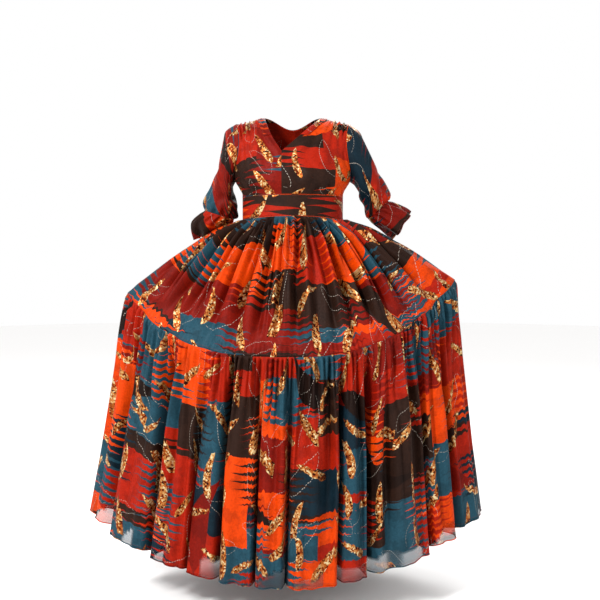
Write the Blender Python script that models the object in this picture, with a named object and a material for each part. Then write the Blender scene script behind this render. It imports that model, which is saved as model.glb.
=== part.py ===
"""A habesha kemis: a floor length dress of printed chiffon, shown as it is worn, with the skirt held out.

Metres, +Z up. The origin is the middle of the shoulder line, where the dress is held up. The wearer
faces -Y, so the wearer's left is at +X. Every piece is a wall of cloth round a surface S(u, v), where
u runs round the dress and v runs down it.
"""

import math

import bmesh
import bpy
import numpy as np

# Cloth and seams
WALL = 0.0015
SEAM_GAP = 0.0006
LAID_ON_GAP = 0.0005

# Bodice, seen from the front
BODY_CENTRE_X = 0.008
NECK_HALF_WIDTH = 0.085
SHOULDER_HALF_WIDTH = 0.165
SHOULDER_FALL = 0.016
SHOULDER_ROUND = 0.38
BACK_NECK_DROP = 0.030
ARMHOLE_DROP = 0.190
ARMHOLE_HALF_DEPTH = 0.058
NECKBAND_WIDTH = 0.021
NECKBAND_END_DROP = 0.052
BUST_DROP = 0.165
BUST_TURN = math.radians(36)
BUST_RISE = 0.012
BUST_SPREAD = 0.050

# Midriff band: drops of its edges in the middle, and how much lower they are at the sides
BAND_TOP_DROP = 0.228
BAND_TOP_DIP = 0.006
BAND_BOTTOM_DROP = 0.291
BAND_BOTTOM_DIP = 0.013

BAND_TOP_ROOT = math.sqrt(BAND_TOP_DROP)
BAND_SIDE_ROOT = math.sqrt(BAND_TOP_DROP + BAND_TOP_DIP)

# Shape of the body of the dress above the skirt, a row for each level below the shoulder line
BODY = np.array([
    (0.000, 0.240, 0.000, 0.000),
    (0.010, 0.226, 0.038, 0.038),
    (0.035, 0.206, 0.072, 0.070),
    (0.100, 0.190, 0.112, 0.101),
    (0.160, 0.181, 0.136, 0.113),
    (0.190, 0.172, 0.139, 0.115),
    (0.230, 0.152, 0.128, 0.116),
    (0.310, 0.152, 0.134, 0.122),
], dtype=[("drop", float), ("half_width", float), ("front", float), ("back", float)])

# Front neckline: x of the wearer's right and left edge at each drop, down to the point of the V
NECKLINE = np.array([
    (0.000, -0.077, 0.092),
    (0.052, -0.055, 0.032),
    (0.101, -0.024, -0.024),
], dtype=[("drop", float), ("right", float), ("left", float)])

# Skirt rings: centre, half width, depths, height in the middle, rise at the sides, how late that rise
# comes towards the wearer's right and left, and how round the ring is
RINGS = np.array([
    ("tier", 0.003, 0.498, 0.260, 0.250, -0.692, 0.187, 3.2, 2.5, 0.45),
    ("hem", -0.013, 0.590, 0.285, 0.275, -1.352, 0.150, 2.0, 2.0, 0.60),
], dtype=[("name", "U8"), ("centre_x", float), ("half_width", float), ("front", float), ("back", float),
          ("middle_z", float), ("rise", float), ("right_power", float), ("left_power", float),
          ("roundness", float)])
HAND_TILT = 0.020
UPPER_BULGE = 0.016
LOWER_BULGE = 0.012
UPPER_SIDE_PULL = 0.6
LOWER_SIDE_PULL = 1.6

# Gathers of the whole skirt, counted all the way round
WAIST_GATHERS = 48
WAIST_GATHER_DEPTH = 0.0044
TIER_GATHERS = 64
TIER_GATHER_DEPTH = 0.0075

# Creases between the skirt's large folds, as places round the ring: -1 to 1 is the front, 1 to 3 the back
FOLD_CREASES = np.array([
    -0.83, -0.60, -0.42, -0.28, -0.13, 0.00, 0.22, 0.35, 0.65, 0.80,
    1.20, 1.36, 1.53, 1.67, 1.83, 2.00, 2.15, 2.36, 2.51, 2.67, 2.83,
])
USUAL_FOLD_WIDTH = 0.19
UPPER_FOLD_DEPTH = 0.008
TIER_FOLD_DEPTH = 0.005
HEM_FOLD_DEPTH = 0.030

# Gathers of the bodice and cuffs
SHOULDER_GATHERS = 4
SHOULDER_GATHER_DEPTH = 0.0028
BUST_GATHERS = 4
BUST_GATHER_DEPTH = 0.0030
CUFF_GATHERS = 13
CUFF_GATHER_DEPTH = 0.0030
FLOUNCE_WAVES = 5
FLOUNCE_WAVE_DEPTH = 0.0080

# Sleeves: at each stage along the arm, the edge away from the body and the edge beside it as the
# front view shows them, the middle of the section along y, and half its depth along y
SECTION = [("along", float), ("outer_x", float), ("outer_z", float), ("inner_x", float),
           ("inner_z", float), ("middle_y", float), ("half_depth", float)]
SLEEVES = {
    "left": np.array([
        (0.00, 0.176, -0.016, 0.182, -0.190, 0.000, 0.058),
        (0.18, 0.208, -0.040, 0.194, -0.198, 0.003, 0.064),
        (0.45, 0.246, -0.115, 0.210, -0.222, 0.013, 0.061),
        (0.75, 0.288, -0.190, 0.225, -0.257, 0.028, 0.057),
        (0.92, 0.305, -0.232, 0.233, -0.289, 0.038, 0.054),
        (1.00, 0.299, -0.246, 0.240, -0.301, 0.042, 0.043),
    ], dtype=SECTION),
    "right": np.array([
        (0.00, -0.160, -0.016, -0.166, -0.190, 0.000, 0.058),
        (0.18, -0.194, -0.040, -0.174, -0.208, 0.003, 0.065),
        (0.45, -0.213, -0.115, -0.172, -0.236, 0.012, 0.063),
        (0.75, -0.238, -0.200, -0.164, -0.270, 0.026, 0.060),
        (0.92, -0.264, -0.256, -0.162, -0.293, 0.036, 0.056),
        (1.00, -0.262, -0.275, -0.173, -0.302, 0.040, 0.044),
    ], dtype=SECTION),
}
FLOUNCES = {
    "left": np.array([
        (0.00, 0.299, -0.246, 0.240, -0.301, 0.042, 0.043),
        (0.45, 0.340, -0.262, 0.276, -0.328, 0.058, 0.050),
        (1.00, 0.372, -0.284, 0.322, -0.360, 0.082, 0.054),
    ], dtype=SECTION),
    "right": np.array([
        (0.00, -0.262, -0.275, -0.173, -0.302, 0.040, 0.044),
        (0.50, -0.303, -0.318, -0.188, -0.322, 0.064, 0.052),
        (1.00, -0.293, -0.362, -0.214, -0.345, 0.092, 0.052),
    ], dtype=SECTION),
}
SIDES = {"left": 1, "right": -1}
ARMHOLE_CLEARANCE_TOP = 0.0007
ARMHOLE_CLEARANCE_UNDERARM = 0.0026

# Places down a front panel: the point of the V on its inner edge, the underarm on its outer edge
V_POINT_ALONG = 0.50
UNDERARM_ALONG = 0.75
NECKBAND_END_ALONG = V_POINT_ALONG * math.sqrt(NECKBAND_END_DROP / NECKLINE["drop"][-1])

# How finely the walls are drawn
NECKBAND_ROWS = (0, 0.14, 0.31, 0.50, 0.74, 1)
FRONT_ROWS = (*(row * NECKBAND_END_ALONG for row in NECKBAND_ROWS), 0.43, 0.50, 0.62, 0.75, 0.87, 0.95, 1)
FRONT_COLUMNS = 18
BACK_ROWS = (0, 0.08, 0.20, 0.35, 0.55, 0.75, 0.88, 1)
BACK_COLUMNS = 24
BAND_ROWS = (0, 0.5, 1)
BAND_COLUMNS = 24
WAIST_ROWS = (0, 0.06, 0.18, 0.40, 0.70, 1)
WAIST_COLUMNS = (96, 96, 96, 48, 48, 48)
TIER_ROWS = (0, 0.03, 0.10, 0.27, 0.50, 0.75, 1)
TIER_COLUMNS = (128, 128, 128, 64, 64, 64, 64)
SLEEVE_ROWS = (0, 0.08, 0.22, 0.45, 0.70, 0.88, 0.96, 1)
SLEEVE_COLUMNS = (26, 26, 26, 26, 26, 52, 52, 52)
FLOUNCE_ROWS = (0, 0.15, 0.5, 1)
FLOUNCE_COLUMNS = (52, 52, 52, 52)
SLOPE_STEP = 0.002

# Colours of the print, one for each piece: sRGB values from 0 to 1
ORANGE = (0.93, 0.25, 0.04)
RED = (0.70, 0.11, 0.06)
DEEP_RED = (0.52, 0.07, 0.05)
TEAL = (0.17, 0.37, 0.46)
BROWN = (0.27, 0.14, 0.09)
CLOTH_ROUGHNESS = 0.55


def clear_scene():
    for thing in list(bpy.data.objects):
        bpy.data.objects.remove(thing, do_unlink=True)


def to_linear(colour):
    return [c / 12.92 if c <= 0.04045 else ((c + 0.055) / 1.055) ** 2.4 for c in colour]


def cloth_material(name, colour):
    material = bpy.data.materials.new(name + "_chiffon")
    material.use_nodes = True
    shader = material.node_tree.nodes["Principled BSDF"]
    shader.inputs["Base Color"].default_value = (*to_linear(colour), 1)
    shader.inputs["Roughness"].default_value = CLOTH_ROUGHNESS
    shader.inputs["Metallic"].default_value = 0
    return material


def smooth(low, high, value):
    """0 below low, 1 above high, with a soft start and end between them."""
    t = np.clip((value - low) / (high - low), 0, 1)
    return t * t * (3 - 2 * t)


def curve_through(xs, ys, at):
    """A smooth curve through the points of a table, which never swings past them."""
    at = np.asarray(at, float)
    step = np.diff(xs)
    slope = np.diff(ys) / step
    tangent = np.concatenate([slope[:1], np.zeros(len(xs) - 2), slope[-1:]])
    same_way = slope[1:] * slope[:-1] > 0
    total = np.where(same_way, slope[1:] + slope[:-1], 1)
    tangent[1:-1] = np.where(same_way, 2 * slope[1:] * slope[:-1] / total, 0)
    cell = np.clip(np.searchsorted(xs, at, side="right") - 1, 0, len(xs) - 2)
    t = np.clip((at - xs[cell]) / step[cell], -0.1, 1.1)
    rise = ys[cell + 1] - ys[cell]
    start = tangent[cell] * step[cell]
    end = tangent[cell + 1] * step[cell]
    return ys[cell] + start * t + (3 * rise - 2 * start - end) * t**2 + (start + end - 2 * rise) * t**3


def unit(vectors):
    return vectors / np.maximum(np.linalg.norm(vectors, axis=-1, keepdims=True), 1e-12)


def slopes(surface, u, v):
    """Unit directions along u and along v, and the outward normal, at each point of a surface."""
    along_u = unit(surface(u + SLOPE_STEP, v) - surface(u - SLOPE_STEP, v))
    along_v = unit(surface(u, v + SLOPE_STEP) - surface(u, v - SLOPE_STEP))
    return along_u, along_v, unit(np.cross(along_v, along_u))


def raised(surface, height, lean=None):
    """A surface moved out along its normal by height(u, v), or along lean(u, v, normal)."""
    def moved(u, v):
        out = slopes(surface, u, v)[2]
        if lean:
            out = lean(u, v, out)
        return surface(u, v) + out * height(u, v)[..., None]
    return moved


def wave(count, u, sway, seed):
    """Waves round the whole dress, count in all, uneven in spacing and in depth. One turn is 4 of u."""
    turn = math.tau * u / 4
    phase = count * turn + sway * np.sin(3 * turn + seed) + 0.7 * sway * np.sin(7 * turn + 2 * seed)
    depth = 0.80 + 0.14 * np.sin(5 * turn + seed) + 0.12 * np.sin(11 * turn + 3 * seed)
    return depth * (np.sin(phase) + 0.18 * np.sin(2 * phase + seed))


# The body of the dress, above the skirt

def body_table(column, root):
    """Depth of the body over the square root of the drop: it has no sudden end at the shoulder."""
    drops = BODY["drop"]
    ratio = np.concatenate([[SHOULDER_ROUND], BODY[column][1:] / np.sqrt(drops[1:])])
    return curve_through(np.sqrt(drops), ratio, np.abs(root))


def body_half_width(root):
    return curve_through(np.sqrt(BODY["drop"]), BODY["half_width"], np.abs(root))


def body_point(turn, root):
    """The body at an angle from the middle of the front; root is the square root of the drop."""
    drop = root**2
    side = np.sin(turn)
    ahead = np.cos(turn)
    depth = np.where(ahead > 0, body_table("front", root), body_table("back", root)) * root
    x = BODY_CENTRE_X + body_half_width(root) * side
    y = -depth * ahead
    from_neck = (np.abs(x - BODY_CENTRE_X) - NECK_HALF_WIDTH) / (SHOULDER_HALF_WIDTH - NECK_HALF_WIDTH)
    fall = SHOULDER_FALL * smooth(0, 1, from_neck) * (1 - smooth(0, ARMHOLE_DROP, drop))
    across = (np.abs(turn) - BUST_TURN) * 0.16
    bust = np.exp(-(across**2 + (drop - BUST_DROP) ** 2) / (2 * BUST_SPREAD**2))
    y = y - BUST_RISE * bust * smooth(0, 0.5, ahead)
    return np.stack(np.broadcast_arrays(x, y, -drop - fall), axis=-1)


def turn_at_x(x, root):
    return np.arcsin(np.clip((x - BODY_CENTRE_X) / body_half_width(root), -1, 1))


def armhole_turn(angle, column):
    """Turn of the armhole's edge from the front or the back; the angle goes from shoulder to underarm."""
    root = math.sqrt(ARMHOLE_DROP) * np.sin(angle / 2)
    depth = body_table(column, root) * math.sqrt(ARMHOLE_DROP)
    return np.arccos(np.clip(2 * ARMHOLE_HALF_DEPTH * np.cos(angle / 2) / depth, 0, 1))


def outer_edge(v, column):
    """Turn and root down the armhole and then down the side seam."""
    angle = math.pi * np.clip(v / UNDERARM_ALONG, -0.05, 1)
    below = np.clip((v - UNDERARM_ALONG) / (1 - UNDERARM_ALONG), 0, 1.1)
    root = math.sqrt(ARMHOLE_DROP) * np.sin(angle / 2) + (BAND_SIDE_ROOT - math.sqrt(ARMHOLE_DROP)) * below
    return armhole_turn(angle, column), root


def meet_band(turn, root, bottom_root, v):
    """Brings the lower end of a panel, whose root there is bottom_root, to the midriff band's edge."""
    band_root = np.sqrt(waist_drop(turn, BAND_TOP_DROP, BAND_TOP_DIP))
    return root + (band_root - bottom_root) * smooth(0.6, 1, v)


def front_panel(side):
    """Left or right front: u is 0 at the neckline and centre seam, 1 at the armhole and side seam."""
    edge = "left" if side > 0 else "right"
    v_root = math.sqrt(NECKLINE["drop"][-1])

    def inner_edge(v):
        neck = np.clip(v / V_POINT_ALONG, -0.05, 1)
        below = np.clip((v - V_POINT_ALONG) / (1 - V_POINT_ALONG), 0, 1.1)
        root = v_root * neck + (BAND_TOP_ROOT - v_root) * below
        x = curve_through(NECKLINE["drop"], NECKLINE[edge], np.minimum(root**2, v_root**2))
        return turn_at_x(x, root), root

    def surface(u, v):
        inner_turn, inner_root = inner_edge(v)
        outer_turn, outer_root = outer_edge(v, "front")
        turn = inner_turn + (side * outer_turn - inner_turn) * u
        root = inner_root + (outer_root - inner_root) * u
        bottom_root = BAND_TOP_ROOT + (BAND_SIDE_ROOT - BAND_TOP_ROOT) * u
        return body_point(turn, meet_band(turn, root, bottom_root, v))

    def gathers(u, v):
        shoulder = smooth(0.0, 0.05, v) * (1 - smooth(0.10, 0.36, v)) * smooth(0.30, 0.45, u)
        shoulder = shoulder * (1 - smooth(0.88, 0.99, u)) * np.sin(math.tau * SHOULDER_GATHERS * (u - 0.1))
        bust = smooth(0.82, 0.93, v) * (1 - smooth(0.96, 1, v)) * smooth(0.25, 0.4, u)
        bust = bust * (1 - smooth(0.75, 0.9, u)) * np.sin(math.tau * BUST_GATHERS * u)
        return SHOULDER_GATHER_DEPTH * shoulder + BUST_GATHER_DEPTH * bust

    return raised(surface, gathers) if side > 0 else raised(surface, lambda u, v: -gathers(u, v))


def back_panel(u, v):
    """The back: u goes from the right-hand side of the front view, at -1, round to 1."""
    width = np.abs(u)
    outer_turn, outer_root = outer_edge(v, "back")
    top_turn = outer_edge(np.zeros(1), "back")[0][0]
    neck = np.clip(width / 0.5, 0, 1)
    shoulder = np.clip((width - 0.5) / 0.5, 0, 1)
    top_root = math.sqrt(BACK_NECK_DROP) * np.cos(math.pi / 2 * neck)
    top_x = NECK_HALF_WIDTH * neck + (body_half_width(np.zeros(1))[0] * math.sin(top_turn)
                                      - NECK_HALF_WIDTH) * shoulder
    top_share = np.arcsin(np.clip(top_x / body_half_width(top_root), 0, 1)) / top_turn
    share = top_share + (width - top_share) * smooth(0, 0.8, v)
    root = top_root + (BAND_SIDE_ROOT - top_root) * outer_root / BAND_SIDE_ROOT
    turn = math.pi + np.sign(u) * outer_turn * share
    return body_point(turn, meet_band(turn, root, BAND_SIDE_ROOT, v))


def armhole(side, angle):
    """The armhole's edge all the way round: 0 is the shoulder point, then the front, then the underarm."""
    lower = np.where(angle > math.pi, math.tau - angle, angle)
    front = angle <= math.pi
    turn = np.where(front, armhole_turn(lower, "front"), math.pi - armhole_turn(lower, "back"))
    return body_point(side * turn, math.sqrt(ARMHOLE_DROP) * np.sin(lower / 2))


# Rings of the skirt

def waist_drop(turn, middle, dip):
    return middle + dip * np.sin(turn) ** 2


def waist_line(turn):
    return body_point(turn, np.sqrt(waist_drop(turn, BAND_BOTTOM_DROP, BAND_BOTTOM_DIP)))


def skirt_ring(name):
    ring = RINGS[RINGS["name"] == name][0]

    def line(turn):
        side = np.sin(turn)
        ahead = np.cos(turn)
        depth = np.where(ahead > 0, ring["front"], ring["back"])
        lens = ring["roundness"] * ahead + (1 - ring["roundness"]) * ahead * np.abs(ahead)
        tilt = HAND_TILT * side**3 if name == "tier" else 0
        power = np.where(side > 0, ring["left_power"], ring["right_power"])
        z = ring["middle_z"] + ring["rise"] * np.abs(side) ** power + tilt
        return np.stack([ring["centre_x"] + ring["half_width"] * side, -depth * lens, z], axis=-1)

    return line


def evenly(line):
    """The same ring by its own length: u is -1 to 1 round the front and 1 to 3 round the back."""
    tables = []
    for middle in (0, math.pi):
        turn = np.linspace(middle - math.pi / 2, middle + math.pi / 2, 721)
        length = np.concatenate([[0], np.cumsum(np.linalg.norm(np.diff(line(turn), axis=0), axis=-1))])
        tables.append((2 * length / length[-1], turn))

    def at(u):
        round_u = np.mod(np.asarray(u, float) + 1, 4)
        front = np.interp(np.minimum(round_u, 2), *tables[0])
        back = np.interp(np.maximum(round_u - 2, 0), *tables[1])
        return line(np.where(round_u <= 2, front, back))

    return at


WAIST_RING = evenly(waist_line)
BAND_TOP_RING = evenly(lambda turn: body_point(turn, np.sqrt(waist_drop(turn, BAND_TOP_DROP, BAND_TOP_DIP))))
TIER_RING = evenly(skirt_ring("tier"))
HEM_RING = evenly(skirt_ring("hem"))


def between(top, bottom, bulge, lift, side_pull):
    """A surface from one ring to the next, rounded outwards by bulge and upwards at the sides by lift.
    side_pull is the share of the bulge that the sides lack: above 1 they hang inwards."""
    def surface(u, v):
        start = top(u)
        end = bottom(u)
        v_column = np.asarray(v, float)[..., None]
        across = unit(end * [1, 1, 0])
        rounding = np.sin(math.pi * v_column) * (1.2 - 0.4 * v_column)
        side = np.abs(across[..., :1])
        out = across * (1 - side_pull * side) * bulge + np.array([0, 0, 1.0]) * side * lift
        return start + (end - start) * v_column + out * rounding
    return surface


UPPER_BASE = between(WAIST_RING, TIER_RING, UPPER_BULGE, UPPER_BULGE, UPPER_SIDE_PULL)
LOWER_BASE = between(TIER_RING, HEM_RING, LOWER_BULGE, 0, LOWER_SIDE_PULL)


def near_hands(u):
    """1 at the two held points at the sides, 0 away from them."""
    from_side = np.abs(np.mod(np.asarray(u, float), 2) - 1)
    return 1 - smooth(0.0, 0.16, from_side)


def folds(u):
    """The large folds: rounded outwards, sharper at their creases, and deeper where they are wider."""
    creases = np.append(FOLD_CREASES, FOLD_CREASES[0] + 4)
    place = np.mod(np.asarray(u, float) - creases[0], 4) + creases[0]
    count = curve_through(creases, np.arange(len(creases), dtype=float), place)
    ahead = curve_through(creases, np.arange(len(creases), dtype=float), place + SLOPE_STEP)
    width = SLOPE_STEP / np.maximum(ahead - count, 1e-6)
    depth = np.clip((width / USUAL_FOLD_WIDTH) ** 0.6, 0.65, 1.25)
    return -depth * (np.cos(math.tau * count) + 0.2 * np.cos(2 * math.tau * count))


def upper_height(u, v):
    fine = smooth(0, 0.09, v) * (1 - smooth(0.14, 0.40, v)) * (1 + 0.6 * smooth(0.05, 0.25, v))
    broad = smooth(0.08, 0.45, v) * (UPPER_FOLD_DEPTH + (TIER_FOLD_DEPTH - UPPER_FOLD_DEPTH) * smooth(0.5, 1, v))
    gathers = WAIST_GATHER_DEPTH * fine * wave(WAIST_GATHERS, u, 0.5, 0.4)
    return gathers * (1 - 0.4 * near_hands(u)) + broad * folds(u) * (1 - 0.85 * near_hands(u))


def lower_height(u, v):
    fine = smooth(0, 0.08, v) * (1 - smooth(0.10, 0.27, v)) * TIER_GATHER_DEPTH
    broad = TIER_FOLD_DEPTH + (HEM_FOLD_DEPTH - TIER_FOLD_DEPTH) * smooth(-0.1, 0.9, v)
    gathers = fine * wave(TIER_GATHERS, u, 0.6, 2.1)
    return gathers + broad * folds(u) * (1 - (0.85 - 0.35 * smooth(0, 1, v)) * near_hands(u))


def level_at_seam(seam_v):
    """Folds of both tiers go straight out from the tier ring at their seam, so that they meet there."""
    def lean(u, v, normal):
        ring = TIER_RING(u + SLOPE_STEP) - TIER_RING(u - SLOPE_STEP)
        level = unit(np.stack([ring[..., 1], -ring[..., 0], 0 * ring[..., 0]], axis=-1))
        share = (1 - smooth(0, 0.35, np.abs(np.asarray(v, float) - seam_v)))[..., None]
        return unit(normal * (1 - share) + level * share)
    return lean


UPPER_TIER = raised(UPPER_BASE, upper_height, level_at_seam(1))
LOWER_TIER = raised(LOWER_BASE, lower_height, level_at_seam(0))


def midriff(u, v):
    v_column = np.asarray(v, float)[..., None]
    return BAND_TOP_RING(u) + (WAIST_RING(u) - BAND_TOP_RING(u)) * v_column


# Sleeves

def section_point(table, angle, along):
    """An oval between the outer and the inner edge; angle 0 is the outer edge, a quarter turn the front."""
    value = {name: curve_through(table["along"], table[name], along) for name in table.dtype.names[1:]}
    share = (1 + np.cos(angle)) / 2
    x = value["inner_x"] + (value["outer_x"] - value["inner_x"]) * share
    z = value["inner_z"] + (value["outer_z"] - value["inner_z"]) * share
    return np.stack([x, value["middle_y"] - value["half_depth"] * np.sin(angle), z], axis=-1)


def sleeve(name):
    side = SIDES[name]

    def surface(u, v):
        angle = np.mod(-side * math.tau * u, math.tau)
        clearance = ARMHOLE_CLEARANCE_TOP + (ARMHOLE_CLEARANCE_UNDERARM - ARMHOLE_CLEARANCE_TOP) * (
            (1 - np.cos(angle)) / 2)
        start = armhole(side, angle) + np.stack([side * clearance, 0 * u, 0 * u], axis=-1)
        offset = start - section_point(SLEEVES[name], angle, 0 * v)
        return section_point(SLEEVES[name], angle, v) + offset * (1 - smooth(0, 0.45, v))[..., None]

    def height(u, v):
        fine = smooth(0.78, 0.93, v) * (1 - smooth(0.95, 1, v))
        drag = 0.004 * smooth(0.15, 0.5, v) * (1 - smooth(0.7, 0.95, v)) * np.sin(math.tau * (3 * u + 1.3 * v))
        return CUFF_GATHER_DEPTH * fine * np.sin(math.tau * CUFF_GATHERS * u) + drag

    return raised(surface, height)


def flounce(name):
    side = SIDES[name]

    def surface(u, v):
        return section_point(FLOUNCES[name], -side * math.tau * u, v)

    def height(u, v):
        fine = smooth(0, 0.15, v) * (1 - smooth(0.2, 0.7, v)) * np.sin(math.tau * CUFF_GATHERS * u)
        wide = smooth(0.1, 0.9, v) * (1 + 0.3 * np.sin(math.tau * 2 * u + 1)) * np.sin(
            math.tau * FLOUNCE_WAVES * u + 0.8 * np.sin(math.tau * u))
        return CUFF_GATHER_DEPTH * fine + FLOUNCE_WAVE_DEPTH * wide

    return raised(surface, height)


# Walls

def mitre(own, other):
    """How far an edge is drawn back so that two walls meeting at an angle stay clear of each other."""
    cosine = np.clip(np.sum(own * other, axis=-1), -0.5, 1)
    return WALL / 2 * np.sqrt((1 - cosine) / (1 + cosine))


def wall_rows(surface, rows, columns, u_range, closed, above, below):
    """The middle points and normals of each row, drawn back from the seams at its edges."""
    result = []
    for index, (v, count) in enumerate(zip(rows, columns)):
        u = np.linspace(*u_range, count + 1)[:-1] if closed else np.linspace(*u_range, count + 1)
        level = np.full_like(u, v)
        points = surface(u, level)
        along_u, along_v, normal = slopes(surface, u, level)
        if not closed:
            points[0] += along_u[0] * SEAM_GAP / 2
            points[-1] -= along_u[-1] * SEAM_GAP / 2
        if index == 0:
            extra = mitre(along_v, above(u)) if above else 0 * u
            points = points + along_v * (SEAM_GAP / 2 + extra)[:, None]
        if index == len(rows) - 1:
            extra = mitre(along_v, below(u)) if below else 0 * u
            points = points - along_v * (SEAM_GAP / 2 + extra)[:, None]
        result.append((points, normal))
    return result


def row_faces(upper, lower, closed):
    """Faces between two rows of vertex numbers, which have the same count or one twice the other."""
    if closed:
        upper = np.append(upper, upper[0])
        lower = np.append(lower, lower[0])
    if len(upper) == len(lower):
        return [tuple(q) for q in np.stack([upper[:-1], lower[:-1], lower[1:], upper[1:]], axis=1).tolist()]
    fine, coarse, flip = (upper, lower, False) if len(upper) > len(lower) else (lower, upper, True)
    corners = [(fine[0:-2:2], coarse[:-1], fine[1:-1:2]), (fine[1:-1:2], coarse[:-1], coarse[1:]),
               (fine[1:-1:2], coarse[1:], fine[2::2])]
    faces = np.concatenate([np.stack(corner, axis=1) for corner in corners])
    return [tuple(t) for t in (faces[:, ::-1] if flip else faces).tolist()]


def cloth_wall(name, colour, rows, closed=False):
    """A closed wall of cloth with its outer and inner skin, and a rim round each open edge."""
    counts = [len(points) for points, _ in rows]
    starts = np.concatenate([[0], np.cumsum(counts)])
    skin = int(starts[-1])
    numbers = [np.arange(starts[i], starts[i + 1]) for i in range(len(rows))]
    middle = np.concatenate([points for points, _ in rows])
    normal = np.concatenate([normals for _, normals in rows])
    vertices = np.concatenate([middle + normal * WALL / 2, middle - normal * WALL / 2])
    faces = []
    for upper, lower in zip(numbers[:-1], numbers[1:]):
        outer = row_faces(upper, lower, closed)
        faces += outer
        faces += [tuple(n + skin for n in reversed(face)) for face in outer]
    if closed:
        loops = [np.append(numbers[0], 0), np.append(numbers[-1], numbers[-1][0])[::-1]]
    else:
        right = [row[-1] for row in numbers]
        left = [row[0] for row in reversed(numbers)]
        loops = [np.concatenate([numbers[0], right[1:-1], numbers[-1][::-1], left[1:]])]
    for loop in loops:
        faces += [(int(a), int(b), int(b) + skin, int(a) + skin) for a, b in zip(loop[:-1], loop[1:])]
    mesh = bpy.data.meshes.new(name)
    mesh.from_pydata(vertices.tolist(), [], faces)
    outline = bmesh.new()
    outline.from_mesh(mesh)
    bmesh.ops.triangulate(outline, faces=outline.faces[:])
    bmesh.ops.recalc_face_normals(outline, faces=outline.faces[:])
    outline.to_mesh(mesh)
    outline.free()
    mesh.shade_smooth()
    mesh.materials.append(cloth_material(name, colour))
    piece = bpy.data.objects.new(name, mesh)
    bpy.context.collection.objects.link(piece)
    return piece


def down_of(surface, v):
    """The direction along v of a neighbour at its edge."""
    return lambda u: slopes(surface, u, np.full_like(u, v))[1]


def make_bodice():
    for name, side, colour in (("bodice_front_left", 1, RED), ("bodice_front_right", -1, ORANGE)):
        rows = wall_rows(front_panel(side), FRONT_ROWS, [FRONT_COLUMNS] * len(FRONT_ROWS), (0, 1), False,
                         None, None)
        cloth_wall(name, colour, rows)
    rows = wall_rows(back_panel, BACK_ROWS, [BACK_COLUMNS] * len(BACK_ROWS), (-1, 1), False, None, None)
    cloth_wall("bodice_back", DEEP_RED, rows)


def make_neckbands():
    """Strips laid on the panels along the neckline: the panel's points, moved out."""
    lift = WALL + LAID_ON_GAP

    for name, side, colour in (("neckband_left", 1, BROWN), ("neckband_right", -1, BROWN)):
        panel = front_panel(side)

        def strip(u, v, panel=panel, side=side):
            along = np.asarray(v, float) * NECKBAND_END_ALONG
            span = np.linalg.norm(panel(np.full_like(along, 0.2), along) - panel(0 * along, along), axis=-1)
            share = np.asarray(u, float) * NECKBAND_WIDTH / span * 0.2
            outward = slopes(panel, share, along)[2] * side
            return panel(share, along) + outward * lift

        rows = wall_rows(strip, NECKBAND_ROWS, [3] * len(NECKBAND_ROWS), (0, 1), False, None, None)
        cloth_wall(name, colour, rows)

    def back_strip(u, v):
        top = np.asarray(u, float) * 0.5
        drop = np.asarray(v, float)
        span = np.linalg.norm(back_panel(top, np.full_like(top, 0.1)) - back_panel(top, 0 * top), axis=-1)
        share = drop * NECKBAND_WIDTH / span * 0.1
        return back_panel(top, share) + slopes(back_panel, top, share)[2] * lift

    rows = wall_rows(back_strip, BAND_ROWS, [BAND_COLUMNS] * len(BAND_ROWS), (-1, 1), False, None, None)
    cloth_wall("neckband_back", BROWN, rows)


def make_midriff_band():
    for name, u_range, colour in (("midriff_band_front", (-1, 1), RED), ("midriff_band_back", (1, 3), ORANGE)):
        rows = wall_rows(midriff, BAND_ROWS, [BAND_COLUMNS] * len(BAND_ROWS), u_range, False, None,
                         down_of(UPPER_TIER, 0))
        cloth_wall(name, colour, rows)


def make_skirt():
    for name, u_range, colour in (("skirt_upper_front", (-1, 1), ORANGE), ("skirt_upper_back", (1, 3), RED)):
        rows = wall_rows(UPPER_TIER, WAIST_ROWS, WAIST_COLUMNS, u_range, False, down_of(midriff, 1),
                         down_of(LOWER_TIER, 0))
        cloth_wall(name, colour, rows)
    for name, u_range, colour in (("skirt_lower_front", (-1, 1), TEAL), ("skirt_lower_back", (1, 3), BROWN)):
        rows = wall_rows(LOWER_TIER, TIER_ROWS, TIER_COLUMNS, u_range, False, down_of(UPPER_TIER, 1), None)
        cloth_wall(name, colour, rows)


def make_sleeves():
    for name, colour in (("left", TEAL), ("right", RED)):
        rows = wall_rows(sleeve(name), SLEEVE_ROWS, SLEEVE_COLUMNS, (0, 1), True, None,
                         down_of(flounce(name), 0))
        cloth_wall("sleeve_" + name, colour, rows, closed=True)
        rows = wall_rows(flounce(name), FLOUNCE_ROWS, FLOUNCE_COLUMNS, (0, 1), True,
                         down_of(sleeve(name), 1), None)
        cloth_wall("sleeve_flounce_" + name, ORANGE, rows, closed=True)


def main():
    clear_scene()
    make_bodice()
    make_neckbands()
    make_midriff_band()
    make_sleeves()
    make_skirt()


if __name__ == "__main__":
    main()
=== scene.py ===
"""Habesha kemis dress: its cloth, print and trim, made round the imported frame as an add-on's operators.

Metres, +Z up, the wearer faces -Y and the wearer's left is at +X. Every piece of cloth is a surface
S(u, v) worked out on a grid: u runs round the dress and v runs down it. Its UV map, named "cloth",
holds metres of flat cloth, so the print is squeezed wherever the cloth is gathered.
"""

import math

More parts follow.
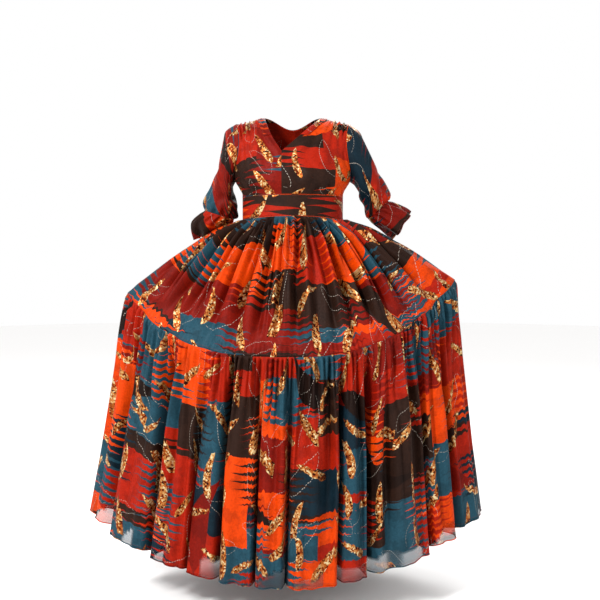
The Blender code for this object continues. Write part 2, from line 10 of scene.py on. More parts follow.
import bpy
import numpy as np
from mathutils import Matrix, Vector


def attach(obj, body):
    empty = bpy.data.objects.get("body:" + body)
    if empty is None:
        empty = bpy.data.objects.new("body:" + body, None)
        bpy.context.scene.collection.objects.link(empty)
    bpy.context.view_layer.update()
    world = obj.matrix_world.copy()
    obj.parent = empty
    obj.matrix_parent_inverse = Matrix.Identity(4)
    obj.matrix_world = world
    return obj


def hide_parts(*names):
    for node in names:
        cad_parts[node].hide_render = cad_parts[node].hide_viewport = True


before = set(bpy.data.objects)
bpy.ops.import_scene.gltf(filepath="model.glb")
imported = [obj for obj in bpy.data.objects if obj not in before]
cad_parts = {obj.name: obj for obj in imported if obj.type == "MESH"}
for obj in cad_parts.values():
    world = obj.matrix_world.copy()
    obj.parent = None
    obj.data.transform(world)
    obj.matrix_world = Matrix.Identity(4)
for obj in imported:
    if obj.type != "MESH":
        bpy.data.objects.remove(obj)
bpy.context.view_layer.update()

bl_info = {
    "name": "Habesha kemis dress",
    "version": (1, 0, 0),
    "blender": (4, 5, 0),
    "location": "3D View > Sidebar > Dress",
    "description": "Makes a worn, hollow dress of printed chiffon with a gathered, tiered skirt",
    "category": "Add Mesh",
}

BODY_NAME = "root"

# Bodice, seen from the front
BODY_CENTRE_X = 0.008
NECK_HALF_WIDTH = 0.085
SHOULDER_HALF_WIDTH = 0.165
SHOULDER_FALL = 0.016
SHOULDER_ROUND = 0.38
BACK_NECK_DROP = 0.030
NECKBAND_LIFT = 0.0020
ARMHOLE_DROP = 0.190
ARMHOLE_HALF_DEPTH = 0.058
NECKBAND_WIDTH = 0.021
NECKBAND_END_DROP = 0.052
BUST_DROP = 0.165
BUST_TURN = math.radians(36)
BUST_RISE = 0.012
BUST_SPREAD = 0.050
BUST_METRES_PER_RADIAN = 0.16
BACK_NECK_SHARE = 0.5
BACK_SETTLED = 0.8
BAND_JOINED_FROM = 0.6

# Midriff band: drops of its edges in the middle, and how much lower they are at the sides
BAND_TOP_DROP = 0.228
BAND_TOP_DIP = 0.006
BAND_BOTTOM_DROP = 0.291
BAND_BOTTOM_DIP = 0.013

BAND_TOP_ROOT = math.sqrt(BAND_TOP_DROP)
BAND_SIDE_ROOT = math.sqrt(BAND_TOP_DROP + BAND_TOP_DIP)

# Shape of the body of the dress above the skirt, a row for each level below the shoulder line
BODY = np.array([
    (0.000, 0.240, 0.000, 0.000),
    (0.010, 0.226, 0.038, 0.038),
    (0.035, 0.206, 0.072, 0.070),
    (0.100, 0.190, 0.112, 0.101),
    (0.160, 0.181, 0.136, 0.113),
    (0.190, 0.172, 0.139, 0.115),
    (0.230, 0.152, 0.128, 0.116),
    (0.310, 0.152, 0.134, 0.122),
], dtype=[("drop", float), ("half_width", float), ("front", float), ("back", float)])

# Front neckline: x of the wearer's right and left edge at each drop, down to the point of the V
NECKLINE = np.array([
    (0.000, -0.077, 0.092),
    (0.052, -0.055, 0.032),
    (0.101, -0.024, -0.024),
], dtype=[("drop", float), ("right", float), ("left", float)])

# Skirt rings: centre, half width, depths, height in the middle, rise at the sides, how late that rise
# comes towards the wearer's right and left, and how round the ring is
RINGS = np.array([
    ("tier", 0.003, 0.498, 0.260, 0.250, -0.692, 0.187, 3.2, 2.5, 0.45),
    ("hem", -0.013, 0.590, 0.285, 0.275, -1.352, 0.150, 2.0, 2.0, 0.60),
], dtype=[("name", "U8"), ("centre_x", float), ("half_width", float), ("front", float), ("back", float),
          ("middle_z", float), ("rise", float), ("right_power", float), ("left_power", float),
          ("roundness", float)])
HAND_TILT = 0.020
UPPER_BULGE = 0.016
LOWER_BULGE = 0.012
UPPER_SIDE_PULL = 0.6
LOWER_SIDE_PULL = 1.6

# Stretches of u round the dress
FRONT_HALF = (-1, 1)
BACK_HALF = (1, 3)
ALL_ROUND = (-1, 3)

# Gathers of the whole skirt, counted all the way round, deeper here than in the solids
WAIST_GATHERS = 48
WAIST_GATHER_DEPTH = 0.00924
TIER_GATHERS = 64
TIER_GATHER_DEPTH = 0.00975

# Creases between the skirt's large folds, as places round the ring: -1 to 1 is the front, 1 to 3 the back
FOLD_CREASES = np.array([
    -0.83, -0.60, -0.42, -0.28, -0.13, 0.00, 0.22, 0.35, 0.65, 0.80,
    1.20, 1.36, 1.53, 1.67, 1.83, 2.00, 2.15, 2.36, 2.51, 2.67, 2.83,
])
USUAL_FOLD_WIDTH = 0.19
WIDE_FOLD_POWER = 0.6
FOLD_DEPTH_RANGE = (0.65, 1.25)
FOLD_SHARPNESS = 0.2
UPPER_FOLD_DEPTH = 0.008
TIER_FOLD_DEPTH = 0.005
HEM_FOLD_DEPTH = 0.030

# Gathers of the bodice and cuffs, counted across the whole panel or round the whole cuff
SHOULDER_GATHERS = 6
SHOULDER_GATHER_START = 0.1
SHOULDER_GATHER_DEPTH = 0.00532
BUST_GATHERS = 7
BUST_GATHER_DEPTH = 0.0042
CUFF_GATHERS = 13
CUFF_GATHER_DEPTH = 0.0030
FLOUNCE_WAVES = 5
FLOUNCE_WAVE_DEPTH = 0.0080

# Where folds lie, as v down their piece or u across it: begun, full, starting to fade and gone
SHOULDER_GATHERS_DOWN = (0.0, 0.05, 0.10, 0.36)
SHOULDER_GATHERS_ACROSS = (0.30, 0.45, 0.88, 0.99)
BUST_GATHERS_DOWN = (0.82, 0.93, 0.96, 1.0)
BUST_GATHERS_ACROSS = (0.25, 0.40, 0.75, 0.90)
FRONT_DRAPES_DOWN = (0.0, 0.06, 0.93, 1.0)
FRONT_DRAPES_ACROSS = (0.0, 0.08, 0.90, 1.0)
CUFF_GATHERS_DOWN = (0.78, 0.93, 0.95, 1.0)
SLEEVE_DRAG_DOWN = (0.15, 0.50, 0.70, 0.95)
SLEEVE_DRAPES_DOWN = (0.10, 0.40, 0.85, 1.0)
FLOUNCE_GATHERS_DOWN = (0.0, 0.15, 0.20, 0.70)
WAIST_GATHERS_DOWN = (0.0, 0.045, 0.16, 0.55)
TIER_GATHERS_DOWN = (0.0, 0.05, 0.13, 0.50)
UPPER_CREASES_DOWN = (0.20, 0.50, 0.60, 0.98)

# Stretches of v over which something grows from nothing to its full size
WAIST_GATHERS_DEEPEN = (0.05, 0.25)
UPPER_FOLDS_GROW = (0.08, 0.45)
UPPER_FOLDS_CHANGE = (0.5, 1.0)
LOWER_CREASES_GROW = (0.02, 0.20)
LOWER_FOLDS_DEEPEN = (-0.03, 0.50)
FOLD_ROLL_GROWS = (0.08, 0.50)
FLOUNCE_WAVES_GROW = (0.1, 0.9)
LOW_DRAPES_GROW = (0.4, 0.7)

# How much of the folds is lost beside the two points where the skirt is held, and how far in u that goes
WAIST_GATHERS_LOST = 0.4
TIER_GATHERS_LOST = 0.5
FOLDS_LOST = 0.85
HEM_FOLDS_LOST = 0.50
HAND_REACH = 0.16

# Sleeves: at each stage along the arm, the edge away from the body and the edge beside it as the
# front view shows them, the middle of the section along y, and half its depth along y
SECTION = [("along", float), ("outer_x", float), ("outer_z", float), ("inner_x", float),
           ("inner_z", float), ("middle_y", float), ("half_depth", float)]
SLEEVES = {
    "left": np.array([
        (0.00, 0.176, -0.016, 0.182, -0.190, 0.000, 0.058),
        (0.18, 0.208, -0.040, 0.194, -0.198, 0.003, 0.064),
        (0.45, 0.246, -0.115, 0.210, -0.222, 0.013, 0.061),
        (0.75, 0.288, -0.190, 0.225, -0.257, 0.028, 0.057),
        (0.92, 0.305, -0.232, 0.233, -0.289, 0.038, 0.054),
        (1.00, 0.299, -0.246, 0.240, -0.301, 0.042, 0.043),
    ], dtype=SECTION),
    "right": np.array([
        (0.00, -0.160, -0.016, -0.166, -0.190, 0.000, 0.058),
        (0.18, -0.194, -0.040, -0.174, -0.208, 0.003, 0.065),
        (0.45, -0.213, -0.115, -0.172, -0.236, 0.012, 0.063),
        (0.75, -0.238, -0.200, -0.164, -0.270, 0.026, 0.060),
        (0.92, -0.264, -0.256, -0.162, -0.293, 0.036, 0.056),
        (1.00, -0.262, -0.275, -0.173, -0.302, 0.040, 0.044),
    ], dtype=SECTION),
}
FLOUNCES = {
    "left": np.array([
        (0.00, 0.299, -0.246, 0.240, -0.301, 0.042, 0.043),
        (0.45, 0.340, -0.262, 0.276, -0.328, 0.058, 0.050),
        (1.00, 0.372, -0.284, 0.322, -0.360, 0.082, 0.054),
    ], dtype=SECTION),
    "right": np.array([
        (0.00, -0.262, -0.275, -0.173, -0.302, 0.040, 0.044),
        (0.50, -0.303, -0.318, -0.188, -0.322, 0.064, 0.052),
        (1.00, -0.293, -0.362, -0.214, -0.345, 0.092, 0.052),
    ], dtype=SECTION),
}
SIDES = {"left": 1, "right": -1}
ARMHOLE_CLEARANCE_TOP = 0.0007
ARMHOLE_CLEARANCE_UNDERARM = 0.0026
SLEEVE_HEAD_END = 0.45

# Places down a front panel: the point of the V on its inner edge, the underarm on its outer edge
V_POINT_ALONG = 0.50
UNDERARM_ALONG = 0.75
NECKBAND_END_ALONG = V_POINT_ALONG * math.sqrt(NECKBAND_END_DROP / NECKLINE["drop"][-1])

# Grids: the number of cells round and down each piece, and of points and sides of rings and tubes
SKIRT_LOWER_CELLS = (500, 88)
SKIRT_UPPER_CELLS = (400, 72)
BODICE_FRONT_CELLS = (110, 96)
BODICE_BACK_CELLS = (150, 80)
BAND_CELLS = (150, 14)
NECKBAND_CELLS = (10, 70)
SLEEVE_CELLS = (140, 90)
FLOUNCE_CELLS = (200, 28)
SLEEVE_WIDEST_ROW = 25
TUBE_SIDES = 6
RING_POINTS = 721
ARMHOLE_POINTS = 181
WAIST_POINTS = 361
FLOOR_SIDES = 96

# Worn detail that the solids leave out. The strengths are those of the creases, in their own order
CREASE_WIDTH = 0.11
FOLD_TOP = 0.38
FOLD_TOP_ROUND = 0.30
CREASE_STRENGTHS = np.array([
    0.6, 1.5, 0.5, 1.4, 1.1, 0.7, 0.5, 1.5, 0.8, 1.3,
    0.7, 1.3, 0.6, 1.4, 0.9, 1.2, 0.6, 1.4, 0.8, 1.2, 0.7,
])
FOLD_ROLL = 0.014
PINCH_REACH = 0.16
PINCH_CREASES = 9
PINCH_DEPTH = 0.0065
PINCH_CLEAR = 0.05
PINCH_ENDS = (0.9, 1.0)
LEVEL_REACH = 0.35
DRAPE_DEPTH = 0.0017
SLEEVE_DRAPE_DEPTH = 0.0038
SLEEVE_DRAG_DEPTH = 0.004
CUFF_HEM_SHARE = 0.8
SEAM_RADIUS = 0.0009
NECKBAND_STITCHES_ACROSS = 0.9
NECKBAND_STITCHES_DOWN = (0.02, 0.98, 60)
STITCH_STEP = 0.0042
STITCH_RADIUS = 0.00028

# Ripples of the skirt: depth, fewest and most of them round the dress, seed, sideways slip down the
# cloth, where down the cloth they are begun, full, starting to fade and faded, the share lost by then,
# and the share lost beside the hands
RIPPLE = [("depth", float), ("fewest", int), ("most", int), ("seed", int), ("slip", float),
          ("begun", float), ("full", float), ("fading", float), ("faded", float), ("lost", float),
          ("lost_at_hands", float)]
UPPER_RIPPLES = np.array([
    (0.0038, 60, 100, 19, 2.5, 0.03, 0.12, 0.500, 0.95, 1.0, 0.7),
    (0.0130, 24, 42, 5, 1.6, 0.05, 0.25, 0.600, 0.97, 1.0, 0.7),
    (0.0011, 150, 210, 8, 2.0, 0.86, 0.97, 0.985, 1.00, 1.0, 0.7),
], dtype=RIPPLE)
LOWER_RIPPLES = np.array([
    (0.0060, 140, 200, 3, 2.0, 0.00, 0.02, 0.060, 0.34, 1.00, 0.0),
    (0.0106, 34, 62, 11, 3.0, 0.03, 0.25, 0.450, 1.00, 0.45, 0.5),
    (0.0040, 70, 120, 17, 4.0, 0.02, 0.12, 0.500, 1.00, 0.30, 0.5),
], dtype=RIPPLE)

# The strip above the hem that lets light through: its upper edge in shares of its height, and how soft
# the edges of its patches are, in metres down the cloth and in ripple heights round it
SHEER_MEAN = 0.75
SHEER_SWING = 0.45
SHEER_EDGE = 0.004
SHEER_PATCH_EDGE = 0.15
HEM_DOWN_PRINT = 0.66

# The print. Lengths are metres of flat cloth, and scales are cells or bands in a metre
BLOCK_COLUMN = 0.150
BLOCK_ROW = 0.16
OVER_COLUMN = 1.37
OVER_ROW = 0.8
BORDER_RUN = 0.7
PLAIN_BORDERS = 0.16
TOOTH_PITCH = 0.022
TOOTH_LENGTHS = (0.04, 0.17)
PRINT_DRIFT = 0.045
OVER_SHARE = 0.36
BLOCK_STEPS = [(0.0, "orange"), (0.19, "red"), (0.37, "deep_red"), (0.51, "teal"), (0.72, "dark_teal"),
               (0.79, "brown"), (0.93, "orange")]
CRESCENT_SHARE = 0.62
CRESCENT_STEPS = [(0.0, "dark_brown"), (0.45, "deep_red"), (0.62, "brown"), (0.85, "orange")]
DRIFT_SCALE = 4.5
MOTTLE_SCALE = 16.0
MOTTLE_EDGE = (0.49, 0.57)
MOTTLE_DARK = 0.74
GRAIN_SCALE = 160.0
NOISE_MIDDLE = (0.3, 0.7)
GRAIN_SHADES = (0.86, 1.12)
LEAF_JITTER = 0.72
LEAF_SIZES = (0.78, 1.30)
LEAF_END_WIDTHS = (0.65, 1.35)
LEAF_ARC_START = 0.35
CRESCENTS = {"cell": 0.30, "half_length": 0.13, "half_width": 0.032, "bend": 0.10, "seed": 2.3,
             "turn": 3.0, "taper": 2.0}
OUTLINES = {"cell": 0.155, "half_length": 0.070, "half_width": 0.020, "bend": 0.035, "seed": 7.9,
            "turn": 1.3, "taper": 4.0}
GOLD_LEAVES = {"cell": 0.128, "half_length": 0.066, "half_width": 0.0118, "bend": 0.024, "seed": 0.4,
               "turn": 1.25, "taper": 4.0}
LINE_HALF_THICKNESS = 0.0007
LINE_DASH = 0.007
LINE_DASH_SHARE = 0.62
LINE_TIP = 0.97
LINE_STRENGTH = 0.8
FOIL_FLAKE = 0.0045
FOIL_EDGE_STEEPNESS = 900.0
FOIL_PATCH_SCALE = 55.0
FOIL_PATCH_SHADE = 0.32
FOIL_RELIEF = 3.0
FOIL_ROUGHNESS = 0.36
FOIL_METAL = 0.5
# Colours of the foil's flakes: the palest, BEAC83, is a painted glint, and the rest are the foil's own
# gold, copper and dark specks
FOIL_FLAKE_COLOURS_AND_GLINTS = [(0.0, "230502"), (0.11, "632208"), (0.30, "8A4616"), (0.52, "9C6533"), (0.76, "AC8856"),
                (0.91, "BEAC83")]
WEAVE_SCALE = 110.0
CLOTH_ROUGHNESS = (0.62, 0.46)
SHEER_OPACITY = 0.45

# Stage: the camera stands 3.5 m in front and 1.15 m above the floor, and looks down a little
CAMERA_AT = (0.03, -3.5, -0.291)
CAMERA_TURN = (math.radians(85.8), 0.0, 0.0)
LENS = 68.88
SENSOR = 36.0
FLOOR_Z = -1.441
FLOOR_RADIUS = 9.0
LIT_POINT = (0.0, 0.0, -0.65)
LIGHTS = [
    ("key", (-1.9, -2.7, 1.4), 0.8, 195.0),
    ("fill", (2.4, -2.6, 0.6), 1.4, 30.0),
    ("rim", (0.6, 2.6, 1.9), 1.8, 75.0),
]
SKY_STRENGTH = 1.0

# Where each piece lies on the printed cloth, across and down, in metres
PRINT_AT = {
    "bodice_front_left": (6.16, 0.80), "bodice_front_right": (25.60, 0.44), "bodice_back": (9.61, 0.77),
    "neckband_left": (8.90, 0.59), "neckband_right": (3.99, 1.70), "neckband_back": (16.29, 0.38),
    "midriff_band_front": (25.76, 1.97), "midriff_band_back": (3.68, 3.38),
    "sleeve_left": (14.06, 0.53), "sleeve_right": (7.94, 0.26),
    "sleeve_flounce_left": (17.57, 0.38), "sleeve_flounce_right": (11.30, 3.32),
    "skirt_upper_front": (14.03, 0.05), "skirt_upper_back": (16.70, 0.23),
    "skirt_lower_front": (5.00, 0.83), "skirt_lower_back": (24.77, 0.05),
}

# How far apart in u or v two points are when a slope is measured between them
SLOPE_STEP = 0.002


# What a user would change

def from_hex(code):
    """An sRGB hex value as linear red, green, blue and 1: a twelfth of a dark value, and the 2.4th power
    of a lighter one."""
    parts = [int(code[place:place + 2], 16) / 255 for place in (0, 2, 4)]
    return (*(c / 12.92 if c <= 0.04045 else ((c + 0.055) / 1.055) ** 2.4 for c in parts), 1.0)


def length_setting(name, description, default, low, high):
    """A length in metres that a user can change."""
    return bpy.props.FloatProperty(name=name, description=description, default=default, min=low, max=high,
                                   unit="LENGTH", precision=4)


def colour_setting(name, description, code):
    """A colour that a user can change."""
    return bpy.props.FloatVectorProperty(name=name, description=description, default=from_hex(code), size=4,
                                         min=0.0, max=1.0, subtype="COLOR")


class DressSettings(bpy.types.PropertyGroup):
    """Sizes and colours of the dress"""
    cloth_thickness: length_setting("Cloth thickness", "Thickness of the cloth as drawn",
                                    0.0008, 0.0003, 0.002)
    hem_roll: length_setting("Hem roll", "Diameter of the narrow rolled hem", 0.0032, 0.001, 0.008)
    stitch_length: length_setting("Stitch length", "Length of each stitch that shows", 0.0027, 0.001, 0.004)
    sheer_strip: length_setting("Sheer strip", "Height of the strip above the hem that has no lining",
                                0.048, 0.0, 0.15)
    crease_depth: bpy.props.FloatProperty(
        name="Crease depth", description="Depth of the creases between the large folds, in fold depths",
        default=2.55, min=1.0, max=3.0, subtype="FACTOR")
    orange: colour_setting("Orange", "Brightest dye of the print", "B43300")
    red: colour_setting("Red", "Main dye of the print", "861503")
    deep_red: colour_setting("Deep red", "Darker red dye", "640B02")
    teal: colour_setting("Teal", "Blue dye of the print", "1A3945")
    dark_teal: colour_setting("Dark teal", "Darker blue dye", "0A1B24")
    brown: colour_setting("Brown", "Brown dye of the print", "21110A")
    dark_brown: colour_setting("Dark brown", "Darkest dye, in the crescents", "160A06")
    outline: colour_setting("Outline", "Thin dashed leaf outlines", "91887E")
    thread: colour_setting("Thread", "Sewing thread", "691E0C")
    floor: colour_setting("Floor", "Painted studio floor", "F7F6F5")
    sky: colour_setting("Sky", "Light from all round", "FFFFFF")


def settings():
    """The dress's settings in the open scene."""
    return bpy.context.scene.dress_settings


def smooth(low, high, value):
    """0 below low, 1 above high, with a soft start and end between them."""
    t = np.clip((value - low) / (high - low), 0, 1)
    return t * t * (3 - 2 * t)


def stretch(value, begun, full, fading, faded, lost=1.0):
    """0 up to begun, 1 from full to fading, and less by the share lost from faded on."""
    return smooth(begun, full, value) * (1 - lost * smooth(fading, faded, value))


def curve_through(xs, ys, at):
    """A smooth curve through the points of a table, which never swings past them: its slope at a point is
    the harmonic mean of the slopes beside it, and 0 where they have different signs."""
    at = np.asarray(at, float)
    step = np.diff(xs)
    slope = np.diff(ys) / step
    tangent = np.concatenate([slope[:1], np.zeros(len(xs) - 2), slope[-1:]])
    same_way = slope[1:] * slope[:-1] > 0
    total = np.where(same_way, slope[1:] + slope[:-1], 1)
    tangent[1:-1] = np.where(same_way, 2 * slope[1:] * slope[:-1] / total, 0)
    cell = np.clip(np.searchsorted(xs, at, side="right") - 1, 0, len(xs) - 2)
    t = np.clip((at - xs[cell]) / step[cell], -0.1, 1.1)
    rise = ys[cell + 1] - ys[cell]
    start = tangent[cell] * step[cell]
    end = tangent[cell + 1] * step[cell]
    square = 3 * rise - 2 * start - end
    cube = start + end - 2 * rise
    return ys[cell] + start * t + square * t**2 + cube * t**3


def unit(vectors):
    """Vectors over their own lengths."""
    return vectors / np.maximum(np.linalg.norm(vectors, axis=-1, keepdims=True), 1e-12)


def running_length(points, axis=0):
    """The length along points up to each of them."""
    step = np.linalg.norm(np.diff(points, axis=axis), axis=-1)
    return np.concatenate([np.zeros_like(step.take([0], axis)), np.cumsum(step, axis=axis)], axis=axis)


def slopes(surface, u, v):
    """Unit directions along u and along v, and the outward normal, at each point of a surface."""
    along_u = unit(surface(u + SLOPE_STEP, v) - surface(u - SLOPE_STEP, v))
    along_v = unit(surface(u, v + SLOPE_STEP) - surface(u, v - SLOPE_STEP))
    return along_u, along_v, unit(np.cross(along_v, along_u))


def raised(surface, height, lean=None):
    """A surface moved out along its normal by height(u, v), or along lean(u, v, normal)."""
    def moved(u, v):
        out = slopes(surface, u, v)[2]
        if lean:
            out = lean(u, v, out)
        return surface(u, v) + out * height(u, v)[..., None]
    return moved


def wave(count, u, sway, seed):
    """Waves round the whole dress, count in all. One turn is 4 of u. Their spacing sways 3 and 7 times a
    turn, their depth changes 5 and 11 times a turn, and an overtone of 0.18 leans each one over."""
    turn = math.tau * u / 4
    phase = count * turn + sway * np.sin(3 * turn + seed) + 0.7 * sway * np.sin(7 * turn + 2 * seed)
    depth = 0.80 + 0.14 * np.sin(5 * turn + seed) + 0.12 * np.sin(11 * turn + 3 * seed)
    return depth * (np.sin(phase) + 0.18 * np.sin(2 * phase + seed))


def drape(u, v, seed):
    """Small soft folds of loose cloth: seven crossed sines of random direction, strongest where they
    agree, over 3 and less 0.12 of the square."""
    rng = np.random.default_rng(int(seed * 10))
    total = 0
    for _ in range(7):
        across, down, start = rng.uniform(2, 7), rng.uniform(-5, 5), rng.uniform(0, math.tau)
        total = total + np.sin(math.tau * (across * u + down * v) + start + 0.8 * np.sin(5 * v + start))
    return total / 3 - 0.12 * (total / 3) ** 2


# The body of the dress, above the skirt

def body_table(column, root):
    """Depth of the body over the square root of the drop: it has no sudden end at the shoulder."""
    drops = BODY["drop"]
    ratio = np.concatenate([[SHOULDER_ROUND], BODY[column][1:] / np.sqrt(drops[1:])])
    return curve_through(np.sqrt(drops), ratio, np.abs(root))


def body_half_width(root):
    """Half the width of the body; root is the square root of the drop."""
    return curve_through(np.sqrt(BODY["drop"]), BODY["half_width"], np.abs(root))


def body_point(turn, root):
    """The body at an angle from the middle of the front; root is the square root of the drop."""
    drop = root**2
    side = np.sin(turn)
    ahead = np.cos(turn)
    depth = np.where(ahead > 0, body_table("front", root), body_table("back", root)) * root
    x = BODY_CENTRE_X + body_half_width(root) * side
    y = -depth * ahead
    from_neck = (np.abs(x - BODY_CENTRE_X) - NECK_HALF_WIDTH) / (SHOULDER_HALF_WIDTH - NECK_HALF_WIDTH)
    fall = SHOULDER_FALL * smooth(0, 1, from_neck) * (1 - smooth(0, ARMHOLE_DROP, drop))
    across = (np.abs(turn) - BUST_TURN) * BUST_METRES_PER_RADIAN
    bust = np.exp(-(across**2 + (drop - BUST_DROP) ** 2) / (2 * BUST_SPREAD**2))
    y = y - BUST_RISE * bust * smooth(0, 0.5, ahead)
    return np.stack(np.broadcast_arrays(x, y, -drop - fall), axis=-1)


def turn_at_x(x, root):
    """The angle from the middle of the front at which the body reaches x."""
    return np.arcsin(np.clip((x - BODY_CENTRE_X) / body_half_width(root), -1, 1))


def armhole_turn(angle, column):
    """Turn of the armhole's edge from the front or the back; the angle goes from shoulder to underarm."""
    root = math.sqrt(ARMHOLE_DROP) * np.sin(angle / 2)
    depth = body_table(column, root) * math.sqrt(ARMHOLE_DROP)
    return np.arccos(np.clip(2 * ARMHOLE_HALF_DEPTH * np.cos(angle / 2) / depth, 0, 1))


def outer_edge(v, column):
    """Turn and root down the armhole and then down the side seam."""
    angle = math.pi * np.clip(v / UNDERARM_ALONG, -0.05, 1)
    below = np.clip((v - UNDERARM_ALONG) / (1 - UNDERARM_ALONG), 0, 1.1)
    root = math.sqrt(ARMHOLE_DROP) * np.sin(angle / 2) + (BAND_SIDE_ROOT - math.sqrt(ARMHOLE_DROP)) * below
    return armhole_turn(angle, column), root


def meet_band(turn, root, bottom_root, v):
    """Brings the lower end of a panel, whose root there is bottom_root, to the midriff band's edge."""
    band_root = np.sqrt(waist_drop(turn, BAND_TOP_DROP, BAND_TOP_DIP))
    return root + (band_root - bottom_root) * smooth(BAND_JOINED_FROM, 1, v)


def front_panel(side):
    """Left or right front: u is 0 at the neckline and centre seam, 1 at the armhole and side seam."""
    edge = "left" if side > 0 else "right"
    v_root = math.sqrt(NECKLINE["drop"][-1])

    def inner_edge(v):
        neck = np.clip(v / V_POINT_ALONG, -0.05, 1)
        below = np.clip((v - V_POINT_ALONG) / (1 - V_POINT_ALONG), 0, 1.1)
        root = v_root * neck + (BAND_TOP_ROOT - v_root) * below
        x = curve_through(NECKLINE["drop"], NECKLINE[edge], np.minimum(root**2, v_root**2))
        return turn_at_x(x, root), root

    def surface(u, v):
        inner_turn, inner_root = inner_edge(v)
        outer_turn, outer_root = outer_edge(v, "front")
        turn = inner_turn + (side * outer_turn - inner_turn) * u
        root = inner_root + (outer_root - inner_root) * u
        bottom_root = BAND_TOP_ROOT + (BAND_SIDE_ROOT - BAND_TOP_ROOT) * u
        return body_point(turn, meet_band(turn, root, bottom_root, v))

    def gathers(u, v):
        """Gathers under the shoulder seam and under the bust, and soft drapes on the whole panel."""
        shoulder = stretch(v, *SHOULDER_GATHERS_DOWN) * stretch(u, *SHOULDER_GATHERS_ACROSS)
        shoulder = shoulder * np.sin(math.tau * SHOULDER_GATHERS * (u - SHOULDER_GATHER_START))
        bust = stretch(v, *BUST_GATHERS_DOWN) * stretch(u, *BUST_GATHERS_ACROSS)
        bust = bust * np.sin(math.tau * BUST_GATHERS * u)
        soft = stretch(v, *FRONT_DRAPES_DOWN) * stretch(u, *FRONT_DRAPES_ACROSS) * drape(u, v, 2.0 + side)
        return SHOULDER_GATHER_DEPTH * shoulder + BUST_GATHER_DEPTH * bust + DRAPE_DEPTH * soft

    return raised(surface, lambda u, v: side * gathers(u, v))


def back_panel(u, v):
    """The back: u goes from the right-hand side of the front view, at -1, round to 1."""
    width = np.abs(u)
    outer_turn, outer_root = outer_edge(v, "back")
    top_turn = outer_edge(np.zeros(1), "back")[0][0]
    neck = np.clip(width / BACK_NECK_SHARE, 0, 1)
    shoulder = np.clip((width - BACK_NECK_SHARE) / (1 - BACK_NECK_SHARE), 0, 1)
    top_root = math.sqrt(BACK_NECK_DROP) * np.cos(math.pi / 2 * neck)
    top_end = body_half_width(np.zeros(1))[0] * math.sin(top_turn)
    top_x = NECK_HALF_WIDTH * neck + (top_end - NECK_HALF_WIDTH) * shoulder
    top_share = np.arcsin(np.clip(top_x / body_half_width(top_root), 0, 1)) / top_turn
    share = top_share + (width - top_share) * smooth(0, BACK_SETTLED, v)
    root = top_root + (BAND_SIDE_ROOT - top_root) * outer_root / BAND_SIDE_ROOT
    turn = math.pi + np.sign(u) * outer_turn * share
    return body_point(turn, meet_band(turn, root, BAND_SIDE_ROOT, v))


def armhole(side, angle):
    """The armhole's edge all the way round: 0 is the shoulder point, then the front, then the underarm."""
    lower = np.where(angle > math.pi, math.tau - angle, angle)
    front = angle <= math.pi
    turn = np.where(front, armhole_turn(lower, "front"), math.pi - armhole_turn(lower, "back"))
    return body_point(side * turn, math.sqrt(ARMHOLE_DROP) * np.sin(lower / 2))


# Rings of the skirt

def waist_drop(turn, middle, dip):
    """Drop of an edge of the midriff band, which dips at the sides by the square of the sine."""
    return middle + dip * np.sin(turn) ** 2


def waist_line(turn):
    """The lower edge of the midriff band, where the skirt starts."""
    return body_point(turn, np.sqrt(waist_drop(turn, BAND_BOTTOM_DROP, BAND_BOTTOM_DIP)))


def skirt_ring(name):
    """A ring of the skirt at an angle from the middle of the front. Its depth is the cosine mixed with the
    cosine's square, and its height rises by a power of the sine."""
    ring = RINGS[RINGS["name"] == name][0]

    def line(turn):
        side = np.sin(turn)
        ahead = np.cos(turn)
        depth = np.where(ahead > 0, ring["front"], ring["back"])
        lens = ring["roundness"] * ahead + (1 - ring["roundness"]) * ahead * np.abs(ahead)
        tilt = HAND_TILT * side**3 if name == "tier" else 0
        power = np.where(side > 0, ring["left_power"], ring["right_power"])
        z = ring["middle_z"] + ring["rise"] * np.abs(side) ** power + tilt
        return np.stack([ring["centre_x"] + ring["half_width"] * side, -depth * lens, z], axis=-1)

    return line


def evenly(line):
    """The same ring by its own length: u is -1 to 1 round the front and 1 to 3 round the back."""
    tables = []
    for middle in (0, math.pi):
        turn = np.linspace(middle - math.pi / 2, middle + math.pi / 2, RING_POINTS)
        length = running_length(line(turn))
        tables.append((2 * length / length[-1], turn))

    def at(u):
        round_u = np.mod(np.asarray(u, float) + 1, 4)
        front = np.interp(np.minimum(round_u, 2), *tables[0])
        back = np.interp(np.maximum(round_u - 2, 0), *tables[1])
        return line(np.where(round_u <= 2, front, back))

    return at


waist_ring = evenly(waist_line)
band_top_ring = evenly(
    lambda turn: body_point(turn, np.sqrt(waist_drop(turn, BAND_TOP_DROP, BAND_TOP_DIP))))
tier_ring = evenly(skirt_ring("tier"))
hem_ring = evenly(skirt_ring("hem"))


def between(top, bottom, bulge, lift, side_pull):
    """A surface from one ring to the next, rounded outwards by bulge and upwards at the sides by lift, by
    the sine of half a turn, more in its upper part. side_pull is the share of the bulge that the sides
    lack: above 1 they hang inwards."""
    def surface(u, v):
        start = top(u)
        end = bottom(u)
        v_column = np.asarray(v, float)[..., None]
        across = unit(end * [1, 1, 0])
        rounding = np.sin(math.pi * v_column) * (1.2 - 0.4 * v_column)
        side = np.abs(across[..., :1])
        out = across * (1 - side_pull * side) * bulge + np.array([0, 0, 1.0]) * side * lift
        return start + (end - start) * v_column + out * rounding
    return surface


upper_base = between(waist_ring, tier_ring, UPPER_BULGE, UPPER_BULGE, UPPER_SIDE_PULL)
lower_base = between(tier_ring, hem_ring, LOWER_BULGE, 0, LOWER_SIDE_PULL)


